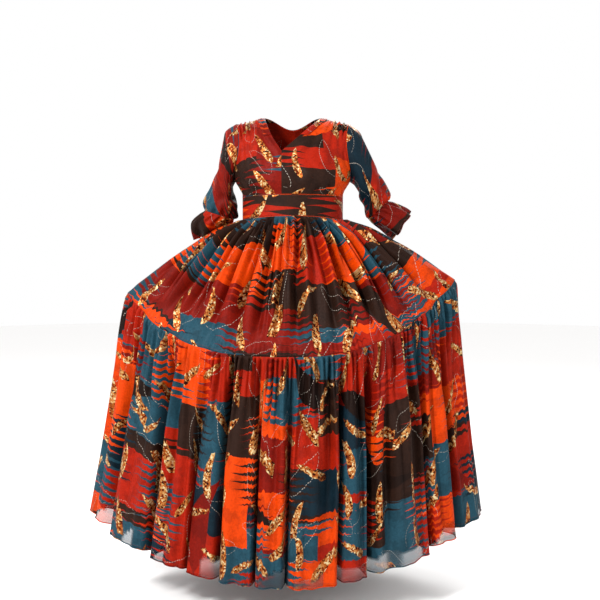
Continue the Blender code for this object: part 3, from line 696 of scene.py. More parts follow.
def fold_place(u):
    """How many large folds lie before u, and how deep the fold at u is: wider folds are deeper, by a
    power of their width over the usual one."""
    creases = np.append(FOLD_CREASES, FOLD_CREASES[0] + 4)
    place = np.mod(np.asarray(u, float) - creases[0], 4) + creases[0]
    order = np.arange(len(creases), dtype=float)
    count = curve_through(creases, order, place)
    ahead = curve_through(creases, order, place + SLOPE_STEP)
    width = SLOPE_STEP / np.maximum(ahead - count, 1e-6)
    return count, np.clip((width / USUAL_FOLD_WIDTH) ** WIDE_FOLD_POWER, *FOLD_DEPTH_RANGE)


def folds(u):
    """The large folds, rounded outwards: less a cosine, and less an overtone that sharpens the creases."""
    count, depth = fold_place(u)
    return -depth * (np.cos(math.tau * count) + FOLD_SHARPNESS * np.cos(2 * math.tau * count))


def tight_folds(u):
    """The same folds as cloth makes them: broad and nearly flat on top, with a narrow deep crease
    between, which is a bell curve of the distance from it."""
    count, depth = fold_place(u)
    from_crease = np.abs(count - np.round(count))
    strength = CREASE_STRENGTHS[np.mod(np.round(count).astype(int), len(CREASE_STRENGTHS))]
    crease = np.exp(-((from_crease / CREASE_WIDTH) ** 2)) * strength
    top = FOLD_TOP - FOLD_TOP_ROUND * np.cos(math.tau * count)
    return depth * (top - settings().crease_depth * crease)


def worn_folds(u, tightness):
    """The large folds, as tight as tightness says, from 0 to 1."""
    return folds(u) + (tight_folds(u) - folds(u)) * tightness


def fold_roll(u):
    """How far the flanks of a fold roll out over the crease beside it."""
    count, depth = fold_place(u)
    return -depth * np.sin(math.tau * count)


def ripples(u, v, fewest, most, seed, slip):
    """Uneven ripples: nine cosines whose counts round the dress lie between fewest and most, which slip
    sideways down the cloth. One turn is 4 of u. Their sum is over 2.4, and 0.26 of its square is taken
    off, so tops are rounder than hollows."""
    rng = np.random.default_rng(seed)
    counts = np.sort(rng.integers(fewest, most + 1, 9))
    starts = rng.uniform(0, math.tau, 9)
    slips = rng.uniform(-slip, slip, 9)
    turn = math.tau * np.asarray(u, float) / 4
    total = sum(np.cos(n * turn + start + move * v) for n, start, move in zip(counts, starts, slips))
    total = total / 2.4
    return total - 0.26 * total**2 + 0.2


def near_hands(u):
    """1 at the two held points at the sides, 0 away from them."""
    from_side = np.abs(np.mod(np.asarray(u, float), 2) - 1)
    return 1 - smooth(0.0, HAND_REACH, from_side)


def rippled(layers, u, v):
    """The heights of all ripples of one tier together."""
    total = 0
    for layer in layers:
        shown = stretch(v, layer["begun"], layer["full"], layer["fading"], layer["faded"], layer["lost"])
        calm = 1 - layer["lost_at_hands"] * near_hands(u)
        height = ripples(u, v, layer["fewest"], layer["most"], layer["seed"], layer["slip"])
        total = total + layer["depth"] * shown * calm * height
    return total


def pinch(points):
    """Creases that fan out from the two points where the skirt is held: a cosine of the angle round the
    point, which fades with the distance from it."""
    height = 0
    for side, start in ((-1, 0.6), (1, 2.0)):
        away = points - tier_ring(np.array(float(side)))
        distance = np.linalg.norm(away, axis=-1)
        angle = np.arctan2(away[..., 2], -side * away[..., 0])
        fade = smooth(0.0, PINCH_CLEAR, distance) * np.exp(-((distance / PINCH_REACH) ** 2))
        height = height + fade * np.cos(PINCH_CREASES * angle + start + 0.8 * np.sin(3 * angle))
    return height * PINCH_DEPTH


def upper_height(u, v):
    """Height of the upper tier's folds: gathers at the waist, ripples, the large folds, and the creases
    from the hands."""
    held = near_hands(u)
    shown = stretch(v, *WAIST_GATHERS_DOWN) * (1 + 0.5 * smooth(*WAIST_GATHERS_DEEPEN, v))
    gathers = WAIST_GATHER_DEPTH * shown * wave(WAIST_GATHERS, u, sway=0.5, seed=0.4)
    depth = UPPER_FOLD_DEPTH + (TIER_FOLD_DEPTH - UPPER_FOLD_DEPTH) * smooth(*UPPER_FOLDS_CHANGE, v)
    broad = smooth(*UPPER_FOLDS_GROW, v) * depth * worn_folds(u, stretch(v, *UPPER_CREASES_DOWN))
    from_hands = pinch(upper_base(u, v)) * (1 - smooth(*PINCH_ENDS, v))
    folded = gathers * (1 - WAIST_GATHERS_LOST * held) + broad * (1 - FOLDS_LOST * held)
    return folded + rippled(UPPER_RIPPLES, u, v) + from_hands


def lower_height(u, v):
    """Height of the lower tier's folds: gathers under the tier seam, ripples, and the large folds, which
    deepen towards the hem."""
    held = near_hands(u)
    gathers = TIER_GATHER_DEPTH * stretch(v, *TIER_GATHERS_DOWN) * wave(TIER_GATHERS, u, sway=0.6, seed=2.1)
    depth = TIER_FOLD_DEPTH + (HEM_FOLD_DEPTH - TIER_FOLD_DEPTH) * smooth(*LOWER_FOLDS_DEEPEN, v)
    lost = FOLDS_LOST + (HEM_FOLDS_LOST - FOLDS_LOST) * smooth(0, 1, v)
    broad = depth * worn_folds(u, smooth(*LOWER_CREASES_GROW, v)) * (1 - lost * held)
    return gathers * (1 - TIER_GATHERS_LOST * held) + broad + rippled(LOWER_RIPPLES, u, v)


def level_at_seam(seam_v):
    """Folds of both tiers go straight out from the tier ring at their seam, so that they meet there."""
    def lean(u, v, normal):
        ring = tier_ring(u + SLOPE_STEP) - tier_ring(u - SLOPE_STEP)
        level = unit(np.stack([ring[..., 1], -ring[..., 0], 0 * ring[..., 0]], axis=-1))
        share = (1 - smooth(0, LEVEL_REACH, np.abs(np.asarray(v, float) - seam_v)))[..., None]
        return unit(normal * (1 - share) + level * share)
    return lean


upper_tier = raised(upper_base, upper_height, level_at_seam(1))
lower_hang = raised(lower_base, lower_height, level_at_seam(0))


def lower_tier(u, v):
    """The lower tier: its folds, with their flanks rolled out along the ring over the creases."""
    ring = hem_ring(u + SLOPE_STEP) - hem_ring(u - SLOPE_STEP)
    roll = FOLD_ROLL * smooth(*FOLD_ROLL_GROWS, v) * (1 - near_hands(u)) * fold_roll(u)
    return lower_hang(u, v) + unit(ring * [1, 1, 0]) * roll[..., None]


def midriff(u, v):
    """The plain band under the bust, straight from its upper to its lower ring."""
    v_column = np.asarray(v, float)[..., None]
    return band_top_ring(u) + (waist_ring(u) - band_top_ring(u)) * v_column


# Sleeves

def section_point(table, angle, along):
    """An oval between the outer and the inner edge; angle 0 is the outer edge, a quarter turn the front."""
    value = {name: curve_through(table["along"], table[name], along) for name in table.dtype.names[1:]}
    share = (1 + np.cos(angle)) / 2
    x = value["inner_x"] + (value["outer_x"] - value["inner_x"]) * share
    z = value["inner_z"] + (value["outer_z"] - value["inner_z"]) * share
    return np.stack([x, value["middle_y"] - value["half_depth"] * np.sin(angle), z], axis=-1)


def sleeve(name):
    """A sleeve whose head follows the armhole, at a small clearance, and gives way to its own oval."""
    side = SIDES[name]

    def surface(u, v):
        angle = np.mod(-side * math.tau * u, math.tau)
        under = (1 - np.cos(angle)) / 2
        clearance = ARMHOLE_CLEARANCE_TOP + (ARMHOLE_CLEARANCE_UNDERARM - ARMHOLE_CLEARANCE_TOP) * under
        start = armhole(side, angle) + np.stack([side * clearance, 0 * u, 0 * u], axis=-1)
        offset = start - section_point(SLEEVES[name], angle, 0 * v)
        from_armhole = (1 - smooth(0, SLEEVE_HEAD_END, v))[..., None]
        return section_point(SLEEVES[name], angle, v) + offset * from_armhole

    def height(u, v):
        """Gathers above the cuff, drag lines that wind down the arm, and soft drapes: four crossed sines
        over 2, less a tenth of their square."""
        turn = math.tau * u
        gathers = stretch(v, *CUFF_GATHERS_DOWN) * np.sin(CUFF_GATHERS * turn)
        drag = stretch(v, *SLEEVE_DRAG_DOWN) * np.sin(math.tau * (3 * u + 1.3 * v))
        soft = np.sin(4 * turn + 9 * v + 1.1) + np.sin(7 * turn - 6 * v + side) + np.sin(3 * turn + 17 * v)
        soft = soft + np.sin(5 * turn + 26 * v + 2) * smooth(*LOW_DRAPES_GROW, v)
        soft = stretch(v, *SLEEVE_DRAPES_DOWN) * (soft / 2 - 0.1 * soft**2)
        return CUFF_GATHER_DEPTH * gathers + SLEEVE_DRAG_DEPTH * drag + SLEEVE_DRAPE_DEPTH * soft

    return raised(surface, height)


def flounce(name):
    """The short frill below the cuff's gathers."""
    side = SIDES[name]

    def surface(u, v):
        return section_point(FLOUNCES[name], -side * math.tau * u, v)

    def height(u, v):
        """Fine gathers that die out, and waves that grow towards the edge, uneven in depth and spacing."""
        turn = math.tau * u
        gathers = stretch(v, *FLOUNCE_GATHERS_DOWN) * np.sin(CUFF_GATHERS * turn)
        waves = smooth(*FLOUNCE_WAVES_GROW, v) * (1 + 0.3 * np.sin(2 * turn + 1))
        waves = waves * np.sin(FLOUNCE_WAVES * turn + 0.8 * np.sin(turn))
        return CUFF_GATHER_DEPTH * gathers + FLOUNCE_WAVE_DEPTH * waves

    return raised(surface, height)


def front_strip(side):
    """The neckband on one front: the panel's points beside its neckline, moved out."""
    panel = front_panel(side)
    reach = 0.2

    def strip(u, v):
        along = np.asarray(v, float) * NECKBAND_END_ALONG
        span = np.linalg.norm(panel(np.full_like(along, reach), along) - panel(0 * along, along), axis=-1)
        share = np.asarray(u, float) * NECKBAND_WIDTH / span * reach
        return panel(share, along) + slopes(panel, share, along)[2] * side * NECKBAND_LIFT

    return strip


def back_strip(u, v):
    """The neckband round the back of the neck."""
    reach = 0.1
    top = np.asarray(u, float) * BACK_NECK_SHARE
    span = np.linalg.norm(back_panel(top, np.full_like(top, reach)) - back_panel(top, 0 * top), axis=-1)
    share = np.asarray(v, float) * NECKBAND_WIDTH / span * reach
    return back_panel(top, share) + slopes(back_panel, top, share)[2] * NECKBAND_LIFT


# Making meshes

def flat_lengths(points, row):
    """Metres of flat cloth: across as measured along the chosen row, and down each column."""
    down = running_length(points)
    return np.broadcast_to(running_length(points[row]), down.shape), down


def cloth_mesh(name, points, flat, closed=False):
    """A sheet from a grid of points, its rows running down the cloth. A closed sheet's last column is its
    first one again, so the two are one column of vertices, and only its UV map keeps both."""
    rows, columns = points.shape[:2]
    across = columns - 1 if closed else columns
    order = np.arange(rows * across).reshape(rows, across)
    number = np.concatenate([order, order[:, :1]], axis=1) if closed else order
    corners = [(slice(None, -1), slice(None, -1)), (slice(1, None), slice(None, -1)),
               (slice(1, None), slice(1, None)), (slice(None, -1), slice(1, None))]
    quads = np.stack([number[corner].ravel() for corner in corners], axis=1)
    mesh = bpy.data.meshes.new(name)
    mesh.vertices.add(rows * across)
    mesh.vertices.foreach_set("co", points[:, :across].astype(np.float32).ravel())
    mesh.loops.add(quads.size)
    mesh.loops.foreach_set("vertex_index", quads.astype(np.int32).ravel())
    mesh.polygons.add(len(quads))
    mesh.polygons.foreach_set("loop_start", np.arange(0, quads.size, 4, dtype=np.int32))
    mesh.update(calc_edges=True)
    uv = [np.stack([side[corner].ravel() for corner in corners], axis=1) for side in flat]
    uv = np.stack(uv, axis=-1)
    mesh.uv_layers.new(name="cloth").data.foreach_set("uv", uv.astype(np.float32).ravel())
    mesh.shade_smooth()
    mesh.validate()
    piece = bpy.data.objects.new(name, mesh)
    bpy.context.collection.objects.link(piece)
    return piece


def finish_cloth(piece, node):
    """Gives a sheet its thickness and finish, and lets it stand for its solid."""
    wall = piece.modifiers.new("wall", "SOLIDIFY")
    wall.thickness = settings().cloth_thickness
    wall.offset = 0
    piece.data.materials.append(dress_material())
    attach(piece, BODY_NAME)
    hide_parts(node)
    return piece


def make_sheet(node, surface, cells, u_range, across_row=-1, closed=False, dense_top=1.0):
    """One sheet of cloth in place of a node. dense_top above 1 puts more rows near the top."""
    u = np.linspace(*u_range, cells[0] + 1)
    v = np.linspace(0, 1, cells[1] + 1) ** dense_top
    u_grid, v_grid = np.meshgrid(u, v)
    points = surface(u_grid, v_grid)
    across, down = flat_lengths(points, across_row)
    flat = (across + PRINT_AT[node][0], down + PRINT_AT[node][1])
    return finish_cloth(cloth_mesh(node + "_cloth", points, flat, closed), node)


def cloth_tube(name, path, outward, radius, flat_at, closed=False):
    """A thin round tube of cloth along a path: a circle of the given radius across the path at each
    point. flat_at is where it starts on the print, along it and across it."""
    ahead = np.roll(path, -1, axis=0) - np.roll(path, 1, axis=0) if closed else np.gradient(path, axis=0)
    ahead = unit(ahead)
    out = unit(outward - ahead * np.sum(outward * ahead, axis=-1, keepdims=True))
    side = np.cross(ahead, out)
    angle = np.linspace(0, math.tau, TUBE_SIDES + 1)[:, None, None]
    points = path + radius * (np.cos(angle) * out + np.sin(angle) * side)
    if closed:
        points = np.concatenate([points, points[:, :1]], axis=1)
    along = np.broadcast_to(running_length(points[0]), points.shape[:2])
    across = np.broadcast_to(radius * angle[:, 0], points.shape[:2])
    flat = ((flat_at[0] + along).T, (flat_at[1] + across).T)
    piece = cloth_mesh(name, points.transpose(1, 0, 2), flat, closed=True)
    piece.data.materials.append(dress_material())
    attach(piece, BODY_NAME)


def points_at(places, length, values):
    """Values given at each length of a row, worked out at other places along it."""
    return np.stack([np.interp(places, length, values[:, k]) for k in range(3)], axis=-1)


def stitch_rows(name, rows):
    """Rows of short stitches: each one a small prism between two points of its row, lying on the cloth."""
    stitch = settings().stitch_length
    corners = []
    for path, outward in rows:
        length = running_length(path)
        start = np.arange(STITCH_STEP / 2, length[-1] - stitch, STITCH_STEP)
        first = points_at(start, length, path)
        last = points_at(start + stitch, length, path)
        out = unit(points_at(start, length, outward))
        side = unit(np.cross(last - first, out)) * STITCH_RADIUS
        lift = out * (STITCH_RADIUS + settings().cloth_thickness / 2)
        up = out * STITCH_RADIUS
        ends = [end + lift + offset for end in (first, last) for offset in (side, up, -side, -up)]
        corners.append(np.stack(ends, axis=1))
    corners = np.concatenate(corners)
    sides = np.array([(0, 4, 5, 1), (1, 5, 6, 2), (2, 6, 7, 3), (3, 7, 4, 0), (0, 1, 2, 3), (7, 6, 5, 4)])
    faces = (sides[None] + 8 * np.arange(len(corners))[:, None, None]).reshape(-1, 4)
    mesh = bpy.data.meshes.new(name)
    mesh.from_pydata(corners.reshape(-1, 3).tolist(), [], faces.tolist())
    piece = bpy.data.objects.new(name, mesh)
    bpy.context.collection.objects.link(piece)
    return piece


# Materials

def new_material(name):
    """An empty node material, and its own helper, which adds a node with its options and fills its
    sockets in order or by name. A kind in capitals is the operation of a math node."""
    material = bpy.data.materials.new(name)
    material.use_nodes = True
    tree = material.node_tree
    tree.nodes.clear()

    def add(kind, *feeds, out=0, named=None, **options):
        if kind.isupper():
            options["operation"] = kind
            kind = "Math"
        node = tree.nodes.new("ShaderNode" + kind)
        for option, value in options.items():
            setattr(node, option, value)
        for key, feed in [*enumerate(feeds), *(named or {}).items()]:
            if isinstance(feed, bpy.types.NodeSocket):
                tree.links.new(feed, node.inputs[key])
            else:
                node.inputs[key].default_value = feed
        return node.outputs[out] if out is not None else node

    return material, add


def stepped(add, value, steps):
    """One flat colour for each stretch of a value, from rows of the place where it starts and either a
    hex colour or the name of a colour setting."""
    ramp = add("ValToRGB", value, out=None)
    ramp.color_ramp.interpolation = "CONSTANT"
    while len(ramp.color_ramp.elements) < len(steps):
        ramp.color_ramp.elements.new(0.5)
    for element, (place, colour) in zip(ramp.color_ramp.elements, steps):
        element.position = place
        element.color = from_hex(colour) if colour[0] in "0123456789ABCDEF" else getattr(settings(), colour)
    return ramp.outputs[0]


def laid_over(add, share, under, over):
    """The colour over, on the colour under, as far as share says."""
    return add("Mix", out=2, data_type="RGBA", named={0: share, 6: under, 7: over})


def random_value(add, *key):
    """A random value from 0 to 1 that is always the same for the same three numbers."""
    return add("TexWhiteNoise", add("CombineXYZ", *key), noise_dimensions="3D")


def colour_blocks(add, place, column, row, seed):
    """Blocks in columns, in metres of cloth. Where two columns meet, their border is moved by a row of
    teeth: a triangle wave down the cloth whose length is random for each tooth. Each block's own random
    value comes out."""
    split = add("SeparateXYZ", place, out=None)
    across = add("ADD", split.outputs[0], seed)
    down = split.outputs[1]
    border = add("ROUND", add("DIVIDE", across, column))
    section = add("FLOOR", add("DIVIDE", down, row * BORDER_RUN))
    has_teeth = add("GREATER_THAN", random_value(add, border, section, seed), PLAIN_BORDERS)
    tooth = add("DIVIDE", down, TOOTH_PITCH)
    tooth_length = random_value(add, border, add("FLOOR", tooth), seed + 3)
    tooth_length = add("MapRange", tooth_length, 0.0, 1.0, *TOOTH_LENGTHS)
    tooth_length = add("MULTIPLY", tooth_length, has_teeth)
    wedge = add("ABSOLUTE", add("SUBTRACT", add("FRACT", tooth), 0.5))
    wedge = add("MULTIPLY", add("SUBTRACT", wedge, 0.25), tooth_length)
    toothed = add("ADD", across, add("MULTIPLY", wedge, 2.0))
    column_number = add("FLOOR", add("DIVIDE", toothed, column))
    shift = random_value(add, column_number, seed + 5, 0.0)
    row_number = add("FLOOR", add("ADD", add("DIVIDE", down, row), shift))
    return random_value(add, column_number, row_number, seed + 7)


def scattered_leaves(add, place, cell, half_length, half_width, bend, seed, turn, taper):
    """One leaf in each cell of a jittered grid, turned at random by up to turn. Its width is 1 less a
    power of the place along it, more at one end than at the other, and its middle line is bent into an
    arc. Comes out as metres inside its edge, the place along it, and the cell's random values."""
    moved = add("VectorMath", place, (seed, seed * 1.7, 0.0), operation="ADD")
    cells = add("TexVoronoi", moved, out=None, voronoi_dimensions="2D",
                named={"Scale": 1 / cell, "Randomness": LEAF_JITTER})
    away = add("VectorMath", moved, cells.outputs["Position"], operation="SUBTRACT")
    chance = add("SeparateXYZ", cells.outputs["Color"], out=None).outputs
    angle = add("MapRange", chance[0], 0.0, 1.0, -turn, turn)
    turned = add("VectorRotate", away, rotation_type="Z_AXIS", named={"Angle": angle})
    size = add("MapRange", chance[2], 0.0, 1.0, *LEAF_SIZES)
    turned = add("VectorMath", turned, operation="SCALE", named={"Scale": size})
    split = add("SeparateXYZ", turned, out=None)
    along = add("DIVIDE", split.outputs[1], half_length)
    square = add("MULTIPLY", along, along)
    side = add("MapRange", chance[1], 0.0, 1.0, -bend, bend)
    arc = add("MULTIPLY", add("SUBTRACT", square, LEAF_ARC_START), side)
    off = add("ABSOLUTE", add("SUBTRACT", split.outputs[0], arc))
    widths = [half_width * share for share in LEAF_END_WIDTHS]
    width = add("SUBTRACT", 1.0, add("POWER", square, taper / 2))
    width = add("MULTIPLY", width, add("MapRange", along, -1.0, 1.0, *widths))
    return add("SUBTRACT", width, off), along, chance


def print_ground(add, place):
    """The dyed ground of the print: two layers of toothed blocks, and plain crescents on them."""
    lower = stepped(add, colour_blocks(add, place, BLOCK_COLUMN, BLOCK_ROW, seed=3.0), BLOCK_STEPS)
    value = colour_blocks(add, place, BLOCK_COLUMN * OVER_COLUMN, BLOCK_ROW * OVER_ROW, seed=11.0)
    upper = stepped(add, add("MapRange", value, 0.0, OVER_SHARE, 0.0, 1.0), BLOCK_STEPS)
    blocks = laid_over(add, add("LESS_THAN", value, OVER_SHARE), lower, upper)
    inside, _, chance = scattered_leaves(add, place, **CRESCENTS)
    crescent = add("GREATER_THAN", inside, 0.0)
    crescent = add("MULTIPLY", crescent, add("LESS_THAN", chance[2], CRESCENT_SHARE))
    return laid_over(add, crescent, blocks, stepped(add, chance[0], CRESCENT_STEPS))


def leaf_outlines(add, uv):
    """Where the thin dashed outlines of leaves lie: 1 on a dash, 0 elsewhere."""
    inside, along, _ = scattered_leaves(add, uv, **OUTLINES)
    line = add("LESS_THAN", add("ABSOLUTE", inside), LINE_HALF_THICKNESS)
    line = add("MULTIPLY", line, add("LESS_THAN", add("ABSOLUTE", along), LINE_TIP))
    dash = add("FRACT", add("MULTIPLY", along, OUTLINES["half_length"] / LINE_DASH))
    return add("MULTIPLY", line, add("LESS_THAN", dash, LINE_DASH_SHARE))


def gold_leaves(add, uv):
    """Where the leaves of foil lie, each flake's random value, and the gold's colour in flakes, whose
    palest step is a painted glint.
    """
    inside, _, _ = scattered_leaves(add, uv, **GOLD_LEAVES)
    foil = add("ADD", add("MULTIPLY", inside, FOIL_EDGE_STEEPNESS), 0.5, use_clamp=True)
    flakes = add("TexVoronoi", uv, out=1, voronoi_dimensions="2D", named={"Scale": 1 / FOIL_FLAKE})
    flake = add("SeparateXYZ", flakes)
    patches = add("TexNoise", uv, named={"Scale": FOIL_PATCH_SCALE, "Detail": 2.0})
    patches = add("MapRange", patches, *NOISE_MIDDLE, -FOIL_PATCH_SHADE, FOIL_PATCH_SHADE)
    return foil, flake, stepped(add, add("ADD", flake, patches), FOIL_FLAKE_COLOURS_AND_GLINTS)


def printed_chiffon():
    """Polyester chiffon, screen printed, with leaves of gold foil pressed on. It gives the eye hard-edged
    blocks of orange, red, teal and brown, a mottled dye, a soft sheen on the folds, and foil that
    glitters in flakes, partly by its metal and partly by painted glints in its palest flake colour. Its
    lowest strip has no lining behind it and lets light through."""
    material, add = new_material("printed_polyester_chiffon")
    uv = add("UVMap", uv_map="cloth")
    drift = add("TexNoise", uv, out=1, named={"Scale": DRIFT_SCALE, "Detail": 1.5})
    drift = add("VectorMath", drift, (0.5, 0.5, 0.5), operation="SUBTRACT")
    drift = add("VectorMath", drift, operation="SCALE", named={"Scale": PRINT_DRIFT})
    ground = print_ground(add, add("VectorMath", uv, drift, operation="ADD"))

    mottle = add("TexNoise", uv, named={"Scale": MOTTLE_SCALE, "Detail": 5.0, "Roughness": 0.62})
    mottle = add("MapRange", mottle, *MOTTLE_EDGE, 1.0, MOTTLE_DARK)
    grain = add("TexNoise", uv, named={"Scale": GRAIN_SCALE, "Detail": 2.0})
    grain = add("MapRange", grain, *NOISE_MIDDLE, *GRAIN_SHADES)
    shade = add("MULTIPLY", mottle, grain)
    dyed = add("VectorMath", ground, operation="SCALE", named={"Scale": shade})
    lines = add("MULTIPLY", leaf_outlines(add, uv), LINE_STRENGTH)
    foil, flake, gold = gold_leaves(add, uv)
    colour = laid_over(add, foil, laid_over(add, lines, dyed, settings().outline), gold)

    weave = [add("TexWave", uv, bands_direction=way, named={"Scale": WEAVE_SCALE}) for way in ("X", "Y")]
    flaked = add("MULTIPLY", add("MULTIPLY", foil, flake), FOIL_RELIEF)
    relief = add("ADD", add("ADD", *weave), flaked)
    bump = add("Bump", named={"Strength": 0.35, "Distance": 0.0004, "Height": relief})
    roughness = add("MapRange", grain, *GRAIN_SHADES, *CLOTH_ROUGHNESS)
    roughness = add("MapRange", foil, 0.0, 1.0, roughness, FOIL_ROUGHNESS)
    bare = add("Attribute", out=2, attribute_name="unlined")
    opacity = add("MapRange", bare, 0.0, 1.0, 1.0, SHEER_OPACITY)
    shader = add("BsdfPrincipled", named={
        "Base Color": colour, "Roughness": roughness, "Metallic": add("MULTIPLY", foil, FOIL_METAL),
        "Alpha": opacity, "Normal": bump, "Sheen Weight": 0.01, "Sheen Roughness": 0.4,
        "Specular IOR Level": 0.08, "IOR": 1.45})
    add("OutputMaterial", shader, out=None)
    return material


def dress_material():
    """The one chiffon that every piece of cloth shares."""
    return bpy.data.materials.get("printed_polyester_chiffon") or printed_chiffon()


def sewing_thread():
    """Spun polyester sewing thread, two plies twisted. It gives the eye fine matt dashes along the seams,
    with painted shade in the grooves between the plies and a painted highlight on their crests."""
    material, add = new_material("spun_polyester_thread")
    place = add("TexCoord", out=3)
    ply = add("TexWave", place, bands_direction="DIAGONAL", named={"Scale": 900.0})
    # The colour follows the plies' relief: painted shade in the grooves between them, painted highlight on
    # their crests
    shade = add("MapRange", ply, 0.0, 1.0, 0.75, 1.1)
    colour = add("VectorMath", settings().thread[:3], operation="SCALE", named={"Scale": shade})
    bump = add("Bump", named={"Strength": 0.3, "Distance": 0.0001, "Height": ply})
    shader = add("BsdfPrincipled", named={"Base Color": colour, "Roughness": 0.7, "Normal": bump})
    add("OutputMaterial", shader, out=None)
    return material


def floor_finish():
    """Painted studio floor: matt and pale, with a slight unevenness in the paint."""
    material, add = new_material("painted_studio_floor")
    paint = add("TexNoise", add("TexCoord", out=3), named={"Scale": 1.5, "Detail": 2.0})
    rough = add("MapRange", paint, *NOISE_MIDDLE, 0.75, 0.85)
    shader = add("BsdfPrincipled", named={"Base Color": settings().floor, "Roughness": rough})
    add("OutputMaterial", shader, out=None)
    return material


# The operators

def anchored(points, column):
    """Flat lengths of a shaped panel, measured sideways from one column and upwards from its lower edge."""
    across = running_length(points, axis=1)
    across = across - across[:, [column]] + points[:, [column], 0]
    down = running_length(points)
    return across, down - down[-1:] - points[-1:, :, 2]


def panel_sheet(node, surface, cells, u_range, column):
    """A shaped panel of the bodice in place of its solid."""
    u_grid, v_grid = np.meshgrid(np.linspace(*u_range, cells[0] + 1), np.linspace(0, 1, cells[1] + 1))
    points = surface(u_grid, v_grid)
    across, down = anchored(points, column)
    shift = PRINT_AT[node]
    piece = cloth_mesh(node + "_cloth", points, (across + shift[0], down + shift[1]))
    return finish_cloth(piece, node)


class DRESS_OT_bodice(bpy.types.Operator):
    """Makes the two fronts and the back"""
    bl_idname = "dress.bodice"
    bl_label = "Bodice"

    def execute(self, context):
        for node, side, u_range, column in (("bodice_front_left", 1, (0, 1), 0),
                                            ("bodice_front_right", -1, (1, 0), -1)):
            panel_sheet(node, front_panel(side), BODICE_FRONT_CELLS, u_range, column)
        middle = BODICE_BACK_CELLS[0] // 2
        panel_sheet("bodice_back", back_panel, BODICE_BACK_CELLS, (-1, 1), middle)
        return {"FINISHED"}


class DRESS_OT_neckbands(bpy.types.Operator):
    """Makes the strips along the neckline"""
    bl_idname = "dress.neckbands"
    bl_label = "Neckbands"

    def execute(self, context):
        across, along = NECKBAND_CELLS
        for node, side, u_range in (("neckband_left", 1, (0, 1)), ("neckband_right", -1, (1, 0))):
            panel_sheet(node, front_strip(side), NECKBAND_CELLS, u_range, 0)
        panel_sheet("neckband_back", back_strip, (along * 2, across), (-1, 1), along)
        return {"FINISHED"}


class DRESS_OT_midriff(bpy.types.Operator):
    """Makes the plain band under the bust"""
    bl_idname = "dress.midriff"
    bl_label = "Midriff band"

    def execute(self, context):
        make_sheet("midriff_band_front", midriff, BAND_CELLS, FRONT_HALF)
        make_sheet("midriff_band_back", midriff, BAND_CELLS, BACK_HALF)
        return {"FINISHED"}


class DRESS_OT_sleeves(bpy.types.Operator):
    """Makes both sleeves and their frills"""
    bl_idname = "dress.sleeves"
    bl_label = "Sleeves"

    def execute(self, context):
        for name in SIDES:
            piece = make_sheet("sleeve_" + name, sleeve(name), SLEEVE_CELLS, (0, 1),
                               across_row=SLEEVE_WIDEST_ROW, closed=True)
            piece = make_sheet("sleeve_flounce_" + name, flounce(name), FLOUNCE_CELLS, (0, 1), closed=True)
        return {"FINISHED"}


def leave_unlined(piece, u_range):
    """Marks the patches of the lowest strip that have no lining behind them, with uneven upper edges."""
    columns = SKIRT_LOWER_CELLS[0] + 1
    points = np.empty(len(piece.data.vertices) * 3)
    piece.data.vertices.foreach_get("co", points)
    down = flat_lengths(points.reshape(-1, columns, 3), -1)[1]
    u = np.linspace(*u_range, columns)
    edge = SHEER_MEAN + SHEER_SWING * ripples(u, 0, fewest=9, most=30, seed=21, slip=0)
    top = settings().sheer_strip * edge
    patches = ripples(u, 0, fewest=12, most=40, seed=23, slip=0)
    bare = 1 - smooth(top - SHEER_EDGE, top, down[-1:] - down)
    bare = bare * smooth(-SHEER_PATCH_EDGE, SHEER_PATCH_EDGE, patches)
    values = piece.data.attributes.new("unlined", "FLOAT", "POINT").data
    values.foreach_set("value", bare.astype(np.float32).ravel())


class DRESS_OT_skirt(bpy.types.Operator):
    """Makes both tiers of the skirt"""
    bl_idname = "dress.skirt"
    bl_label = "Skirt"

    def execute(self, context):
        for part, u_range in (("front", FRONT_HALF), ("back", BACK_HALF)):
            upper = make_sheet("skirt_upper_" + part, upper_tier, SKIRT_UPPER_CELLS, u_range, dense_top=1.2)
            lower = make_sheet("skirt_lower_" + part, lower_tier, SKIRT_LOWER_CELLS, u_range, dense_top=1.5)
            leave_unlined(lower, u_range)
        return {"FINISHED"}


def edge_of(surface, u_range, count, v):
    """Points along one row of a surface, and its outward normals there."""
    u = np.linspace(*u_range, count)
    level = np.full_like(u, v)
    return surface(u, level), slopes(surface, u, level)[2]


